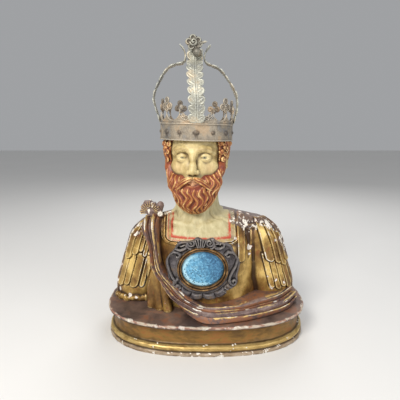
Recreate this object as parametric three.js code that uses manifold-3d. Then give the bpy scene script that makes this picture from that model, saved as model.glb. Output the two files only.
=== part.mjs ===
// A reliquary bust: a bearded, crowned half figure carved in wood, gilded and painted, on an oval base.
// A framed oval window on its chest closes the relic hollow. Millimetres, +Z up, the face looks along -Y.
import * as THREE from 'three';
import { mergeVertices } from 'three/addons/utils/BufferGeometryUtils.js';
import Module from 'manifold-3d';

const wasm = await Module();
wasm.setup();

// Driving dimensions
const clearance = 0.3;

const plinth = {
  halfWidth: 228, // at the rim of the top board
  halfDepth: 154,
  squareness: 2.5, // exponent of the oval: 2 is an ellipse
  boardThickness: 9,
  friezeHeight: 31,
  footHeight: 28,
  friezeSetBack: 15,
  footSetBack: 1.7,
  segments: 40,
};

const bust = {
  height: 416, // plinth top to the crown of the head as an uncut skull
  centreY: 12, // the torso stands behind the middle of the plinth
  columns: 36,
  rows: 16,
};

const head = {
  height: 168, // chin to the top of the skull
  x: -22,
  y: 0,
  turn: 5, // degrees, towards the figure's right
  columns: 36, // a multiple of 4, so that one column runs down the nose
  rows: 26,
};

const window = {
  x: -8,
  heightAbovePlinth: 98.5,
  plateHalfWidth: 46,
  plateHalfHeight: 40.5,
  plateThickness: 5,
  plateDome: 3,
  rimWidth: 8.5,
  rimDepth: 15,
  seatY: -80, // the flat on the chest that carries the window and its frame
  segments: 28,
};

const frame = {
  halfWidth: 75,
  halfHeight: 64,
  thickness: 8,
  relief: 6,
  wrapStart: 54, // beyond this distance from the middle the frame bends back round the chest
  wrapRadius: 45, // round which it bends
  segments: 54,
};

const crown = {
  outerRadius: 79.8,
  sheet: 2.4,
  bandHeight: 35,
  collarHeight: 7, // plain sheet above the band, below the points
  pointHeight: 18,
  points: 14,
  seatHeight: 33, // above the line of the eyes
  centreY: 5,
  tilt: 1.5, // degrees, the figure's left side lower
  bite: 2.6, // how far the band would sink into the hair, which is cut away for it
  fleuronRise: 12, // middle of a leaf above the tip that carries it
  fleuronRadius: 10,
  bossRadius: 6,
  bossHeight: 3,
  stepsPerPoint: 4,
};

const hoop = {
  halfWidth: 18.4,
  sheet: 2.4,
  lap: 5, // how far its foot laps down over the collar
  junctionRadius: 21,
  junctionHeight: 165, // above the foot of the band
  neckHeight: 19,
  tipReach: 12,
  tipRise: 16,
  lean: 7, // how far the crossing of the hoops stands to the figure's right
  leanStart: 62, // above the foot of the band
  lobes: 7,
  steps: 16,
};

const finial = {
  ballRadius: 9.3,
  flowerRadius: 17,
  flowerDepth: 9,
  petals: 5,
};

// Values that follow from the driving dimensions
const plinthTop = plinth.footHeight + plinth.friezeHeight + plinth.boardThickness;
const bustFoot = plinthTop + clearance;
const unit = head.height / 168; // carving on the head is given for a head 168 mm high
const body = bust.height / 416; // carving on the torso is given for a bust 416 mm high
const skullAboveEyes = 80 * unit;
const eyeLine = plinthTop + bust.height - skullAboveEyes;
const crownInner = crown.outerRadius - crown.sheet;
const crownFoot = eyeLine + crown.seatHeight;
const windowZ = plinthTop + window.heightAbovePlinth;
const rimHalfWidth = window.plateHalfWidth + clearance + window.rimWidth;
const rimHalfHeight = window.plateHalfHeight + clearance + window.rimWidth;

const { PI, abs, atan2, cos, exp, hypot, max, min, round, sign, sin, sqrt } = Math;
const degrees = PI / 180;
const clamp = (v, low, high) => max(low, min(high, v));
const mix = (a, b, t) => a + (b - a) * t;
const ease = (from, to, v) => {
  const t = clamp((v - from) / (to - from), 0, 1);
  return t * t * (3 - 2 * t);
};

// Forms: each gives the distance from a point to a surface, negative inside
function ball(x, y, z, c, r) {
  const k = hypot((x - c[0]) / r[0], (y - c[1]) / r[1], (z - c[2]) / r[2]);
  const g = hypot((x - c[0]) / r[0] ** 2, (y - c[1]) / r[1] ** 2, (z - c[2]) / r[2] ** 2);
  return k < 1e-6 ? -min(...r) : (k * (k - 1)) / g;
}

function rod(x, y, z, a, b, ra, rb) {
  const d = [b[0] - a[0], b[1] - a[1], b[2] - a[2]];
  const along = (x - a[0]) * d[0] + (y - a[1]) * d[1] + (z - a[2]) * d[2];
  const t = clamp(along / (d[0] ** 2 + d[1] ** 2 + d[2] ** 2), 0, 1);
  return hypot(x - a[0] - d[0] * t, y - a[1] - d[1] * t, z - a[2] - d[2] * t) - mix(ra, rb, t);
}

function join(a, b, soft) {
  const h = clamp(0.5 + (0.5 * (b - a)) / soft, 0, 1);
  return mix(b, a, h) - soft * h * (1 - h);
}

const cutOut = (a, b, soft) => -join(-a, b, soft);

// The head, in a frame of its own: eyes at height 0, the face towards -y
function faceForm(x, y, z) {
  const side = abs(x);
  let d = ball(x, y, z, [0, 8, 18], [64, 76, 68]);
  d = join(d, ball(x, y, z, [0, -22, -34], [48, 47, 56]), 14);
  d = join(d, ball(side, y, z, [39, -44, -20], [18, 18, 17]), 12);
  d = join(d, ball(side, y, z, [19, -62, 14], [22, 9, 7]), 9);
  d = cutOut(d, ball(side, y, z, [24, -75, 0], [17, 14, 11]), 7);
  d = join(d, ball(side, y, z, [24, -54, 0], [14.5, 13, 11.5]), 3);
  d = join(d, rod(x, y, z, [0, -66, 8], [0, -84, -28], 6.5, 8.5), 8);
  d = join(d, ball(side, y, z, [8.5, -77, -31], [6, 8, 6]), 4);
  d = join(d, ball(x, y, z, [0, -70, -51], [19, 11, 9]), 6);
  return join(d, ball(x, y, z, [0, -67, -76], [18, 14, 12]), 10);
}

function beardForm(x, y, z) {
  const side = abs(x);
  const turnAngle = atan2(x, 25 - y);
  const wave = 0.12 * sin(z / 14 + 2 * turnAngle);
  const locks = 2 * cos(9 * (turnAngle + wave));
  let d = ball(x, y, z, [0, -34, -73], [54, 51, 50]) - locks;
  d = join(d, rod(side, y, z, [56, -6, -12], [47, -20, -60], 10, 13) - 0.6 * locks, 8);
  const lip = rod(side, y, z, [4, -88, -42], [32, -76, -62], 7, 6);
  return join(d, lip, 4);
}

function hairForm(x, y, z) {
  const turnAngle = atan2(x, -y);
  const curls = 2.5 * cos(7 * turnAngle + z / 12) * sin(z / 12 + 3 * turnAngle) * ease(-30, 20, y);
  const mass = ball(x, y, z, [0, 13, 12], [75, (crownInner + crown.bite) / unit, 66]) - curls;
  const nape = ball(x, y, z, [0, 38, -42], [55, 44, 44]) - curls;
  const faceOpening = ball(x, y, z, [0, -92, -8], [63, 88, 90]);
  return max(join(mass, nape, 14), -faceOpening);
}

function earForm(x, y, z) {
  return ball(abs(x), y, z, [68, -2, -8], [7, 12, 20]);
}

function headForm(x, y, z) {
  let d = faceForm(x, y, z);
  d = join(d, hairForm(x, y, z), 2);
  d = join(d, earForm(x, y, z), 2);
  return join(d, beardForm(x, y, z), 2);
}

// The torso, in a frame of its own: x from the middle of the plinth, z from the plinth's top
const armFoot = [152, 10, 32];
const armTop = [126, 10, 131];
const armDepth = 0.85; // an arm is this much narrower from front to back

function torsoForm(x, y, z) {
  const side = abs(x + 2);
  const yArm = armTop[1] + (y - armTop[1]) / armDepth;
  const lowArm = [armFoot[0] + 4, armFoot[1], armFoot[2] - 60];
  let d = rod(side, yArm, z, armFoot, armTop, 56, 52);
  d = min(d, rod(side, yArm, z, lowArm, armFoot, 54, 56));
  d = join(d, rod(side, y, z, [46, 12, 174], [108, 12, 153], 35, 42), 16);
  const chest = join(
    ball(x, y, z, [-6, 8, 105], [126, 88, 107]),
    join(ball(x, y, z, [4, -14, 76], [100, 69, 110]), ball(x, y, z, [0, 14, 10], [128, 97, 150]), 8),
    14,
  );
  d = join(d, chest, 6);
  d = join(d, ball(x, y, z, [0, 44, 95], [150, 66, 112]), 18);
  return join(d, rod(x, y, z, [-17, 12, 170], [-19, 12, 262], 49, 45), 14);
}

// Rounded straps of the dress: those of one tier hang round an arm, the next tier shows below them
const strap = { halfWidth: 11.5, rise: 3.6, sunk: 20, spacing: 26 };
const tiers = [{ top: 168, end: 99, rise: 6, shift: 0 }, { top: 104, end: 36, rise: 3, shift: 10 }];
const trim = { halfWidth: 5.5, rise: 2.5 }; // border of the neck opening
const neckOpening = { left: -77, right: 50, foot: 160, top: 196 };

// The cloak covers the back and the outer sides of the arms, and falls there in upright folds
function cloakRelief(x, y, z) {
  const around = atan2(x, y - bust.centreY);
  const covered = ease(-22, -12, y - 0.1 * abs(x));
  const folds = 0.5 + 0.5 * cos(11 * around + 0.5 * sin(z / 40));
  return covered * (3 + 7 * folds * ease(-10, 60, y) * (1 - ease(150, 200, z)));
}

// The mantle: stops along its upper edge and its lower edge, from the shoulder to the far arm
const mantleUpper = [
  [-100, -12, 194], [-95, -50, 182], [-91, -66, 140], [-85, -76, 101], [-56, -84, 73], [-24, -90, 40],
  [-2, -94, 25], [30, -96, 23], [70, -92, 28], [108, -76, 34], [150, -46, 40], [190, -5, 44],
];
const mantleLower = [
  [-144, -8, 178], [-143, -40, 170], [-126, -55, 138], [-120, -62, 98], [-106, -76, 70], [-80, -96, 34],
  [-38, -120, 9], [-4, -144, 2], [66, -132, 3], [120, -100, 4], [165, -62, 6], [200, -15, 10],
];
const mantle = { folds: 4, foldRise: 5, rise: 7, sunkShare: 0.5, stations: 15 };

// Folds of the tunic that hang beside the figure's right arm, below the mantle
function sideFoldForm(x, y, z) {
  const outer = rod(x, y, z, [-124, -52, 120], [-121, -66, 2], 8, 10);
  const inner = rod(x, y, z, [-108, -62, 92], [-98, -74, 2], 8, 13);
  return join(outer, inner, 4);
}

function chestForm(x, y, z) {
  const u = x / body;
  const v = y / body;
  const w = (z - plinthTop) / body;
  return join(torsoForm(u, v, w) - cloakRelief(u, v, w), sideFoldForm(u, v, w), 4) * body;
}

function knotForm(x, y, z) {
  const u = x / body + 126;
  const v = y / body + 6;
  const w = (z - plinthTop) / body - 214;
  const pleats = 1.6 * cos(9 * atan2(u, w + 20));
  let d = ball(u, v, w, [-4, 0, 5], [23, 8, 17]) - pleats;
  d = join(d, ball(u, v, w, [21, 3, 10], [11, 6, 12]), 3);
  d = join(d, rod(u, v, w, [4, 4, -34], [2, 0, -10], 12, 7), 5);
  return join(d, ball(u, v, w, [9, -9, -12], [7, 5, 7]), 2) * body;
}

// How far along a ray the form's outermost surface lies
function reachOf(form, from, way, reach) {
  const at = (t) => form(from[0] + way[0] * t, from[1] + way[1] * t, from[2] + way[2] * t);
  const step = 4;
  let outside = reach;
  while (outside > step && at(outside - step) > 0) outside -= step;
  let inside = max(0, outside - step);
  for (let n = 0; n < 12; n += 1) {
    const middle = (inside + outside) / 2;
    if (at(middle) > 0) outside = middle;
    else inside = middle;
  }
  return outside;
}

const onRay = ({ from, way }, t) => [from[0] + way[0] * t, from[1] + way[1] * t, from[2] + way[2] * t];

// Moves each vertex out along its ray to the form's outermost surface
function carve(geometry, form, rayOf, reach) {
  const at = geometry.getAttribute('position');
  const v = new THREE.Vector3();
  for (let i = 0; i < at.count; i += 1) {
    const ray = rayOf(v.fromBufferAttribute(at, i));
    const still = hypot(...ray.way) < 0.5;
    at.setXYZ(i, ...onRay(ray, still ? 0 : reachOf(form, ray.from, ray.way, reach)));
  }
  return geometry;
}

// Turns the faces round where they enclose their volume from the wrong side
function facingOut(geometry) {
  const at = geometry.getAttribute('position');
  const index = [...geometry.getIndex().array];
  const [a, b, c] = [new THREE.Vector3(), new THREE.Vector3(), new THREE.Vector3()];
  let volume = 0;
  for (let i = 0; i < index.length; i += 3) {
    a.fromBufferAttribute(at, index[i]);
    b.fromBufferAttribute(at, index[i + 1]);
    c.fromBufferAttribute(at, index[i + 2]);
    volume += a.dot(b.cross(c));
  }
  if (volume < 0) geometry.setIndex(index.reverse());
  return geometry;
}

// A closed skin through a row of sections, each of the same number of corners
function loft(corners, stations, place) {
  const tube = new THREE.CylinderGeometry(1, 1, 1, corners, stations);
  const at = tube.getAttribute('position');
  for (let i = 0; i < at.count; i += 1) {
    const along = at.getY(i) + 0.5;
    const onCap = hypot(at.getX(i), at.getZ(i)) < 0.5;
    const corner = round((atan2(at.getX(i), at.getZ(i)) / (2 * PI)) * corners + corners) % corners;
    const points = onCap ? [...Array(corners).keys()] : [corner];
    const middle = [0, 0, 0];
    for (const k of points) {
      place(k, along).forEach((value, axis) => { middle[axis] += value / points.length; });
    }
    at.setXYZ(i, ...middle);
  }
  return facingOut(tube);
}

function merged(geometry) {
  const bare = geometry.clone();
  bare.deleteAttribute('normal');
  bare.deleteAttribute('uv');
  const joined = mergeVertices(bare, 1e-3);
  const index = joined.getIndex().array;
  const kept = [];
  for (let i = 0; i < index.length; i += 3) {
    const [a, b, c] = [index[i], index[i + 1], index[i + 2]];
    if (a !== b && b !== c && c !== a) kept.push(a, b, c);
  }
  joined.setIndex(kept);
  return joined;
}

function solidOf(geometry) {
  const closed = merged(geometry);
  const vertProperties = new Float32Array(closed.getAttribute('position').array);
  const triVerts = new Uint32Array(closed.getIndex().array);
  return new wasm.Manifold(new wasm.Mesh({ numProp: 3, vertProperties, triVerts }));
}

function geometryOf(solid) {
  const { vertProperties, triVerts, numProp } = solid.getMesh();
  const places = new Float32Array((vertProperties.length / numProp) * 3);
  for (let i = 0; i < places.length; i += 1) {
    places[i] = vertProperties[Math.floor(i / 3) * numProp + (i % 3)];
  }
  const geometry = new THREE.BufferGeometry();
  geometry.setAttribute('position', new THREE.BufferAttribute(places, 3));
  geometry.setIndex([...triVerts]);
  return geometry;
}

// A turned profile whose vertices are then placed by angle (0 at the front), radius and height
function shaped(profile, segments, place) {
  const turned = new THREE.LatheGeometry(profile.map(([r, h]) => new THREE.Vector2(r, h)), segments);
  turned.rotateX(PI / 2);
  const at = turned.getAttribute('position');
  for (let i = 0; i < at.count; i += 1) {
    const [x, y, z] = [at.getX(i), at.getY(i), at.getZ(i)];
    at.setXYZ(i, ...place(atan2(x, -y), hypot(x, y), z));
  }
  turned.computeVertexNormals();
  return turned;
}

// The plinth's oval plan: the point at an angle, moved outward by an offset
const planRadius = 1000; // profile radii are given as offsets from this one
function onPlan(angle, offset) {
  const power = 2 / plinth.squareness;
  const [s, c] = [sin(angle), -cos(angle)];
  const x = plinth.halfWidth * sign(s) * abs(s) ** power;
  const y = plinth.halfDepth * sign(c) * abs(c) ** power;
  const nx = sign(x) * abs(x / plinth.halfWidth) ** (plinth.squareness - 1) / plinth.halfWidth;
  const ny = sign(y) * abs(y / plinth.halfDepth) ** (plinth.squareness - 1) / plinth.halfDepth;
  const length = hypot(nx, ny);
  return [x + (nx / length) * offset, y + (ny / length) * offset];
}

function plinthGeometry() {
  const foot = plinth.footHeight;
  const under = foot + plinth.friezeHeight;
  const back = -plinth.friezeSetBack;
  const edge = -plinth.footSetBack;
  const profile = [
    [edge, 0], [edge, foot * 0.26], [edge - 3, foot * 0.38],
    [edge - 1.5, foot * 0.6], [edge - 6, foot * 0.78],
    [back + 3, foot], [back, foot + plinth.friezeHeight * 0.3], [back + 1, under - 8], [back + 8, under],
    [0, under + 1.5], [0, plinthTop],
  ].map(([offset, z]) => [planRadius + offset, z]);
  const closed = [[0, 0], ...profile, [0, plinthTop]];
  return shaped(closed, plinth.segments, (angle, radius, z) => {
    if (radius < 1) return [0, 0, z];
    return [...onPlan(angle, radius - planRadius), z];
  });
}

function torsoGeometry() {
  const rings = new THREE.CylinderGeometry(1, 1, 1, bust.columns, bust.rows);
  rings.rotateX(PI / 2);
  const top = eyeLine - 66 * unit; // the neck runs up inside the head
  return carve(rings, chestForm, (v) => {
    const t = v.z + 0.5;
    const z = mix(bustFoot, top, 1.2 * t - 0.2 * t * t);
    const turnAngle = atan2(v.x, -v.y);
    const spread = turnAngle - 0.3 * sin(turnAngle);
    const way = new THREE.Vector3(200 * sin(spread), -100 * cos(spread), 0).normalize();
    const onAxis = hypot(v.x, v.y) < 0.5;
    return { from: [-10, bust.centreY, z], way: onAxis ? [0, 0, 0] : way.toArray() };
  }, 250 * body);
}

function headGeometry() {
  const globe = new THREE.SphereGeometry(1, head.columns, head.rows);
  globe.rotateX(PI / 2);
  const from = [0, 0, -10];
  carve(globe, headForm, (v) => {
    const level = hypot(v.x, v.y);
    if (level < 1e-6) return { from, way: [0, 0, v.z] };
    const turnAngle = atan2(v.x, -v.y);
    const spread = turnAngle - 0.6 * sin(turnAngle);
    const tip = Math.acos(v.z);
    const fromTop = tip + 0.24 * sin(2 * tip);
    const way = [sin(fromTop) * sin(spread), -sin(fromTop) * cos(spread), cos(fromTop)];
    return { from, way };
  }, 150);
  globe.scale(unit, unit, unit);
  globe.rotateZ(-head.turn * degrees);
  return globe.translate(head.x, head.y, eyeLine);
}

function knotGeometry() {
  const globe = new THREE.SphereGeometry(1, 12, 8);
  globe.rotateX(PI / 2);
  const middle = [-122 * body, -4 * body, plinthTop + 205 * body];
  return carve(globe, knotForm, (v) => ({ from: middle, way: v.toArray() }), 60 * body);
}

const inWorld = ([x, y, z]) => [x * body, y * body, plinthTop + z * body];

// The mantle is a band with rounded folds along it, sunk into the body below
function mantleGeometry() {
  const curveOf = (stops) => new THREE.CatmullRomCurve3(stops.map((s) => new THREE.Vector3(...inWorld(s))));
  const upper = curveOf(mantleUpper);
  const lower = curveOf(mantleLower);
  const across = 2 * mantle.folds + 1;
  return loft(across + 2, mantle.stations, (corner, along) => {
    const [a, b] = [upper.getPoint(along), lower.getPoint(along)];
    const outward = b.clone().sub(a).cross(upper.getTangent(along)).normalize();
    if (corner >= across) {
      const sunk = (corner === across ? b : a).clone();
      sunk.lerp(new THREE.Vector3(-10 * body, bust.centreY, sunk.z), mantle.sunkShare);
      return [sunk.x, sunk.y, max(sunk.z, bustFoot)];
    }
    const w = corner / (across - 1);
    const rise = mantle.rise * sin(PI * w) + (corner % 2 ? mantle.foldRise : 0);
    const point = a.lerp(b, w).addScaledVector(outward, rise * body);
    return [point.x, point.y, max(point.z, bustFoot)];
  });
}

// A tongue of leather laid on the body: rayAt gives the ray that meets the body across and down its length
function strapGeometry({ top, end, rise, halfWidth, rounded }, rayAt) {
  const corners = [[-1, 0], [-1, 1], [0, 1.3], [1, 1], [1, 0]];
  const stations = [0, 0.35, 0.7, 0.86, 0.96, 1];
  return loft(corners.length, stations.length - 1, (corner, along) => {
    const down = stations[round(along * (stations.length - 1))];
    const height = mix(top, end, down);
    const above = (height - end) / halfWidth;
    const width = rounded && above < 1 ? max(0.15, sqrt(1 - (1 - above) ** 2)) : 1;
    const [side, out] = corners[corner];
    const ray = rayAt(side * width * halfWidth, height);
    const skin = reachOf(chestForm, ray.from, ray.way, 200 * body);
    return onRay(ray, skin + (out > 0 ? rise * out : -strap.sunk) * body);
  });
}

function armRay(side, turn) {
  return (across, height) => {
    const t = (height - armFoot[2]) / (armTop[2] - armFoot[2]);
    const axis = [side * mix(armFoot[0], armTop[0], t) - 2, armTop[1], height];
    const angle = side * (turn * degrees) + across / 55;
    return { from: inWorld(axis), way: [sin(angle), -cos(angle), 0] };
  };
}

const frontRay = (x) => (across, height) => ({ from: inWorld([x + across, 0, height]), way: [0, -1, 0] });

function strapGeometries() {
  const parts = [];
  for (const side of [-1, 1]) {
    for (const { top, end, rise, shift } of tiers) {
      for (let i = side > 0 ? -1 : 0; i < 2; i += 1) {
        const shape = { top, end, rise, halfWidth: strap.halfWidth, rounded: true };
        parts.push(strapGeometry(shape, armRay(side, i * strap.spacing - 3 + shift)));
      }
    }
  }
  const chestStrap = { top: 205, end: 99, rise: strap.rise, halfWidth: 10, rounded: true };
  parts.push(strapGeometry(chestStrap, frontRay(76)));
  const { left, right, foot, top } = neckOpening;
  const edge = trim.halfWidth;
  for (const x of [left - edge, right + edge]) {
    const shape = { top, end: foot - 2 * edge, rise: trim.rise, halfWidth: edge, rounded: false };
    parts.push(strapGeometry(shape, frontRay(x)));
  }
  const sill = { top: left, end: right, rise: trim.rise, halfWidth: edge, rounded: false };
  const sillRay = (across, x) => ({ from: inWorld([x, 0, foot - edge - across]), way: [0, -1, 0] });
  parts.push(strapGeometry(sill, sillRay));
  return parts;
}

// Everything of the head above the crown's foot stays inside the band
function crownSeat() {
  const tall = head.height;
  const wide = head.height * 2;
  const room = crownInner - clearance;
  const profile = [[room, 0], [wide, 0], [wide, tall], [room, tall], [room, 0]];
  return shaped(profile, 56, (angle, radius, z) => [radius * sin(angle), -radius * cos(angle), z]);
}

// Where the top of the skull is cut off level inside the crown
function skullCut() {
  const cut = new THREE.BoxGeometry(head.height * 2, head.height * 2, head.height);
  cut.translate(head.x, crown.centreY, crownFoot + crown.bandHeight * 0.85 + head.height / 2);
  return cut;
}

const crownGroup = new THREE.Group();
crownGroup.position.set(head.x, crown.centreY, crownFoot);
crownGroup.rotation.y = crown.tilt * degrees;
crownGroup.updateMatrixWorld();

// The chest's seat: flat behind the window and bent back with the ends of the frame
const seatBend = (x) => max(0, abs(x - window.x) - frame.wrapStart) ** 2 / (2 * frame.wrapRadius);

function frameOutline(angle) {
  const power = 2.4;
  const [s, c] = [abs(sin(angle)) / frame.halfWidth, abs(cos(angle)) / frame.halfHeight];
  const oval = (s ** power + c ** power) ** (-1 / power);
  // Each bulge has its place in degrees from the top, its rise and its spread
  const scrolls = [[-17, 6, 7], [9, 6, 7], [-48, 7, 9], [40, 7, 9]];
  const ears = [[-82, 6, 14], [80, 6, 14], [115, 9, 8], [-115, 7, 10]];
  let reach = oval;
  for (const [place, rise, spread] of [...scrolls, ...ears]) {
    const away = atan2(sin(angle - PI - place * degrees), cos(angle - PI - place * degrees)) / degrees;
    reach += rise * exp(-((away / spread) ** 2));
  }
  const gadroons = ease(48, 40, abs(angle) / degrees);
  return reach + gadroons * (4 + 3.5 * abs(sin(4.5 * angle)));
}

// A ring round the window: share 0 is its inner edge and 1 its outline; angle 0 is straight down
function onFrame(angle, share, depth) {
  const inner = hypot((rimHalfWidth + clearance) * sin(angle), (rimHalfHeight + clearance) * cos(angle));
  const outer = frameOutline(angle);
  const x = window.x + mix((inner * sin(angle)), outer * sin(angle), share);
  const z = windowZ - mix(inner * cos(angle), outer * cos(angle), share);
  return [x, window.seatY + seatBend(x) - depth, z];
}

function frameGeometry() {
  const deep = clearance + frame.thickness;
  const high = deep + frame.relief;
  const profile = [
    [1, clearance], [1.25, high * 0.9], [1.45, deep], [1.75, high], [2, deep * 0.85], [2, clearance],
  ];
  profile.push(profile[0]);
  return shaped(profile.reverse(), frame.segments, (angle, radius, depth) => {
    return onFrame(angle, radius - 1, depth);
  });
}

function seatCutGeometry() {
  const forward = 120;
  const profile = [[0, 0], [1, 0], [1, forward], [0, forward]];
  return shaped(profile, frame.segments, (angle, radius, depth) => {
    const reach = radius * (frameOutline(angle) + clearance);
    const x = window.x + reach * sin(angle);
    return [x, window.seatY + seatBend(x) - depth, windowZ - reach * cos(angle)];
  });
}

// An oval ring or plate on the window's axis: profile radii are offsets from the plate's edge
function onWindow(angle, offset, depth) {
  const x = (window.plateHalfWidth + offset) * sin(angle);
  const z = -(window.plateHalfHeight + offset) * cos(angle);
  return [window.x + x, window.seatY - depth, windowZ + z];
}

function rimGeometry() {
  const wide = window.rimWidth;
  const tall = window.rimDepth;
  const profile = [
    [clearance, clearance], [clearance, tall * 0.8], [clearance + wide * 0.35, tall],
    [clearance + wide * 0.8, tall * 0.9],
    [clearance + wide, tall * 0.7], [clearance + wide, clearance],
  ].map(([offset, depth]) => [planRadius + offset, depth]);
  profile.push(profile[0]);
  return shaped(profile.reverse(), window.segments, (angle, radius, depth) => {
    return onWindow(angle, radius - planRadius, depth);
  });
}

function plateGeometry() {
  const front = clearance + window.plateThickness;
  const profile = [
    [0, clearance], [1, clearance], [1, front],
    [0.6, front + window.plateDome * 0.7], [0, front + window.plateDome],
  ];
  return shaped(profile, window.segments, (angle, share, depth) => {
    const x = share * window.plateHalfWidth * sin(angle);
    const z = -share * window.plateHalfHeight * cos(angle);
    return [window.x + x, window.seatY - depth, windowZ + z];
  });
}

// Height of the points above the collar; none stand where the front and back hoops rise
function pointHeight(angle) {
  const spacing = (2 * PI) / crown.points;
  const place = angle / spacing;
  const nearest = round(place) % crown.points;
  const away = abs(place - round(place)) * 2;
  if (nearest === 0 || abs(nearest) === crown.points / 2) return 0;
  return crown.pointHeight * (1 - sqrt(1 - (1 - away) ** 2));
}

// A flat four-lobed leaf, its lowest lobe drawn down into the tip of a point
function fleuron(angle, height) {
  const leaf = new THREE.CylinderGeometry(1, 1, crown.sheet * 1.4, 12);
  const at = leaf.getAttribute('position');
  for (let i = 0; i < at.count; i += 1) {
    const turnAngle = atan2(at.getX(i), -at.getZ(i));
    const reach = hypot(at.getX(i), at.getZ(i)) * (crown.fleuronRadius + 3.5 * cos(4 * turnAngle));
    const down = abs(turnAngle) < PI / 2;
    at.setX(i, reach * sin(turnAngle));
    at.setZ(i, -reach * (down ? 1.6 : 1.2) * cos(turnAngle));
  }
  leaf.translate(0, -(crown.outerRadius - crown.sheet / 2), height);
  return leaf.rotateZ(angle);
}

function bandGeometry() {
  const collar = crown.bandHeight + crown.collarHeight;
  const profile = [
    [crownInner, 0], [crown.outerRadius, 0],
    [crown.outerRadius, crown.bandHeight], [crown.outerRadius - 0.2, collar],
    [crownInner, collar],
  ];
  profile.push(profile[0]);
  const wall = shaped(profile, crown.points * crown.stepsPerPoint, (angle, radius, z) => {
    const rise = z > crown.bandHeight + 1 ? pointHeight(angle) : 0;
    return [radius * sin(angle), -radius * cos(angle), z + rise];
  });
  let solid = solidOf(wall);
  const spacing = 360 / crown.points;
  for (let i = 0; i < crown.points; i += 1) {
    const lozenge = i % 2 === 0;
    const boss = new THREE.SphereGeometry(1, lozenge ? 4 : 6, 2);
    boss.rotateX(PI / 2);
    const [wide, tall] = lozenge ? [1.3, 0.9] : [0.8, 0.8];
    boss.scale(crown.bossRadius * wide, crown.bossHeight, crown.bossRadius * tall);
    boss.translate(0, -crown.outerRadius + 0.4, crown.bandHeight / 2);
    boss.rotateZ(i * spacing * degrees);
    solid = solid.add(solidOf(boss));
  }
  const fleuronHeight = collar + crown.pointHeight + crown.fleuronRise;
  for (const i of [2, 4, 6, 8, 10, 12]) {
    solid = solid.add(solidOf(fleuron(i * spacing * degrees, fleuronHeight)));
  }
  for (const i of [-1, 3, 5, 9]) {
    const knob = new THREE.SphereGeometry(4.5, 5, 3);
    knob.translate(0, -(crown.outerRadius - crown.sheet / 2), collar + crown.pointHeight + 3);
    knob.rotateZ(i * spacing * degrees);
    solid = solid.add(solidOf(knob));
  }
  return geometryOf(solid);
}

// A hoop's line in its own upright plane: distance from the crown's axis, and height above the band's foot
function hoopLine(bulge, tipReach) {
  const lapFoot = crown.bandHeight + crown.collarHeight - hoop.lap;
  const start = crown.outerRadius + clearance + hoop.sheet / 2;
  const top = hoop.junctionHeight;
  const points = [
    [start, lapFoot], [start + 1, lapFoot + hoop.lap + 3], [bulge, top * 0.53], [bulge - 13, top * 0.73],
    [bulge - 38, top * 0.92], [hoop.junctionRadius + 4, top - 2], [hoop.junctionRadius, top + 3],
    [hoop.junctionRadius, top + hoop.neckHeight],
    [hoop.junctionRadius + tipReach, top + hoop.neckHeight + hoop.tipRise],
  ];
  const stops = points.map(([r, z]) => new THREE.Vector3(0, -r, z));
  return new THREE.CatmullRomCurve3(stops, false, 'centripetal');
}

// The hoops and what stands on them lean sideways as they rise
function leaned(geometry) {
  const at = geometry.getAttribute('position');
  for (let i = 0; i < at.count; i += 1) {
    at.setX(i, at.getX(i) - hoop.lean * ease(hoop.leanStart, hoop.junctionHeight, at.getZ(i)));
  }
  return geometry;
}

function hoopGeometry(turn, bulge, tipReach) {
  const strip = new THREE.BoxGeometry(2, hoop.sheet, 1, 2, 1, hoop.steps);
  const line = hoopLine(bulge, tipReach);
  const at = strip.getAttribute('position');
  for (let i = 0; i < at.count; i += 1) {
    const along = at.getZ(i) + 0.5;
    const middle = line.getPointAt(along);
    const tangent = line.getTangentAt(along);
    const lobe = 0.86 + 0.14 * abs(sin(along * PI * hoop.lobes * 1.2));
    const taper = along < 0.08 ? 0.72 : along > 0.9 ? 1 - 6 * (along - 0.9) : 1;
    const across = at.getX(i) * hoop.halfWidth * lobe * taper;
    const rib = at.getX(i) === 0 ? 1.2 : 0;
    const thick = at.getY(i) - rib * (along > 0.06 ? 1 : 0);
    at.setXYZ(i, across, middle.y + thick * tangent.z, middle.z - thick * tangent.y);
  }
  return leaned(strip.rotateZ(turn * degrees));
}

function finialGeometry() {
  const flower = new THREE.SphereGeometry(1, 15, 6);
  flower.rotateX(PI / 2);
  flower.rotateX(PI / 2);
  const at = flower.getAttribute('position');
  for (let i = 0; i < at.count; i += 1) {
    const [x, y, z] = [at.getX(i), at.getY(i), at.getZ(i)];
    const petals = 1 + 0.16 * cos(finial.petals * atan2(x, z)) * hypot(x, z);
    const spread = petals * finial.flowerRadius;
    at.setXYZ(i, x * spread, y * finial.flowerDepth, z * spread * 0.85);
  }
  const neckTop = hoop.junctionHeight + hoop.neckHeight;
  const faceY = -(hoop.junctionRadius + hoop.sheet / 2 + 1.2 + clearance);
  const ballUp = neckTop - 5;
  flower.translate(-3, faceY - finial.flowerDepth, ballUp + finial.ballRadius + finial.flowerRadius * 0.62);
  const bead = new THREE.SphereGeometry(finial.ballRadius, 10, 8);
  bead.translate(5, faceY - finial.ballRadius, ballUp);
  return leaned(geometryOf(solidOf(flower).add(solidOf(bead))));
}

function bustGeometry() {
  const seat = solidOf(crownSeat().applyMatrix4(crownGroup.matrixWorld));
  const carvedHead = solidOf(headGeometry()).subtract(seat).subtract(solidOf(skullCut()));
  let torso = solidOf(torsoGeometry()).add(solidOf(mantleGeometry()));
  for (const piece of strapGeometries()) torso = torso.add(solidOf(piece));
  torso = torso.subtract(solidOf(seatCutGeometry()));
  return geometryOf(torso.add(carvedHead).add(solidOf(knotGeometry())));
}

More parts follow.
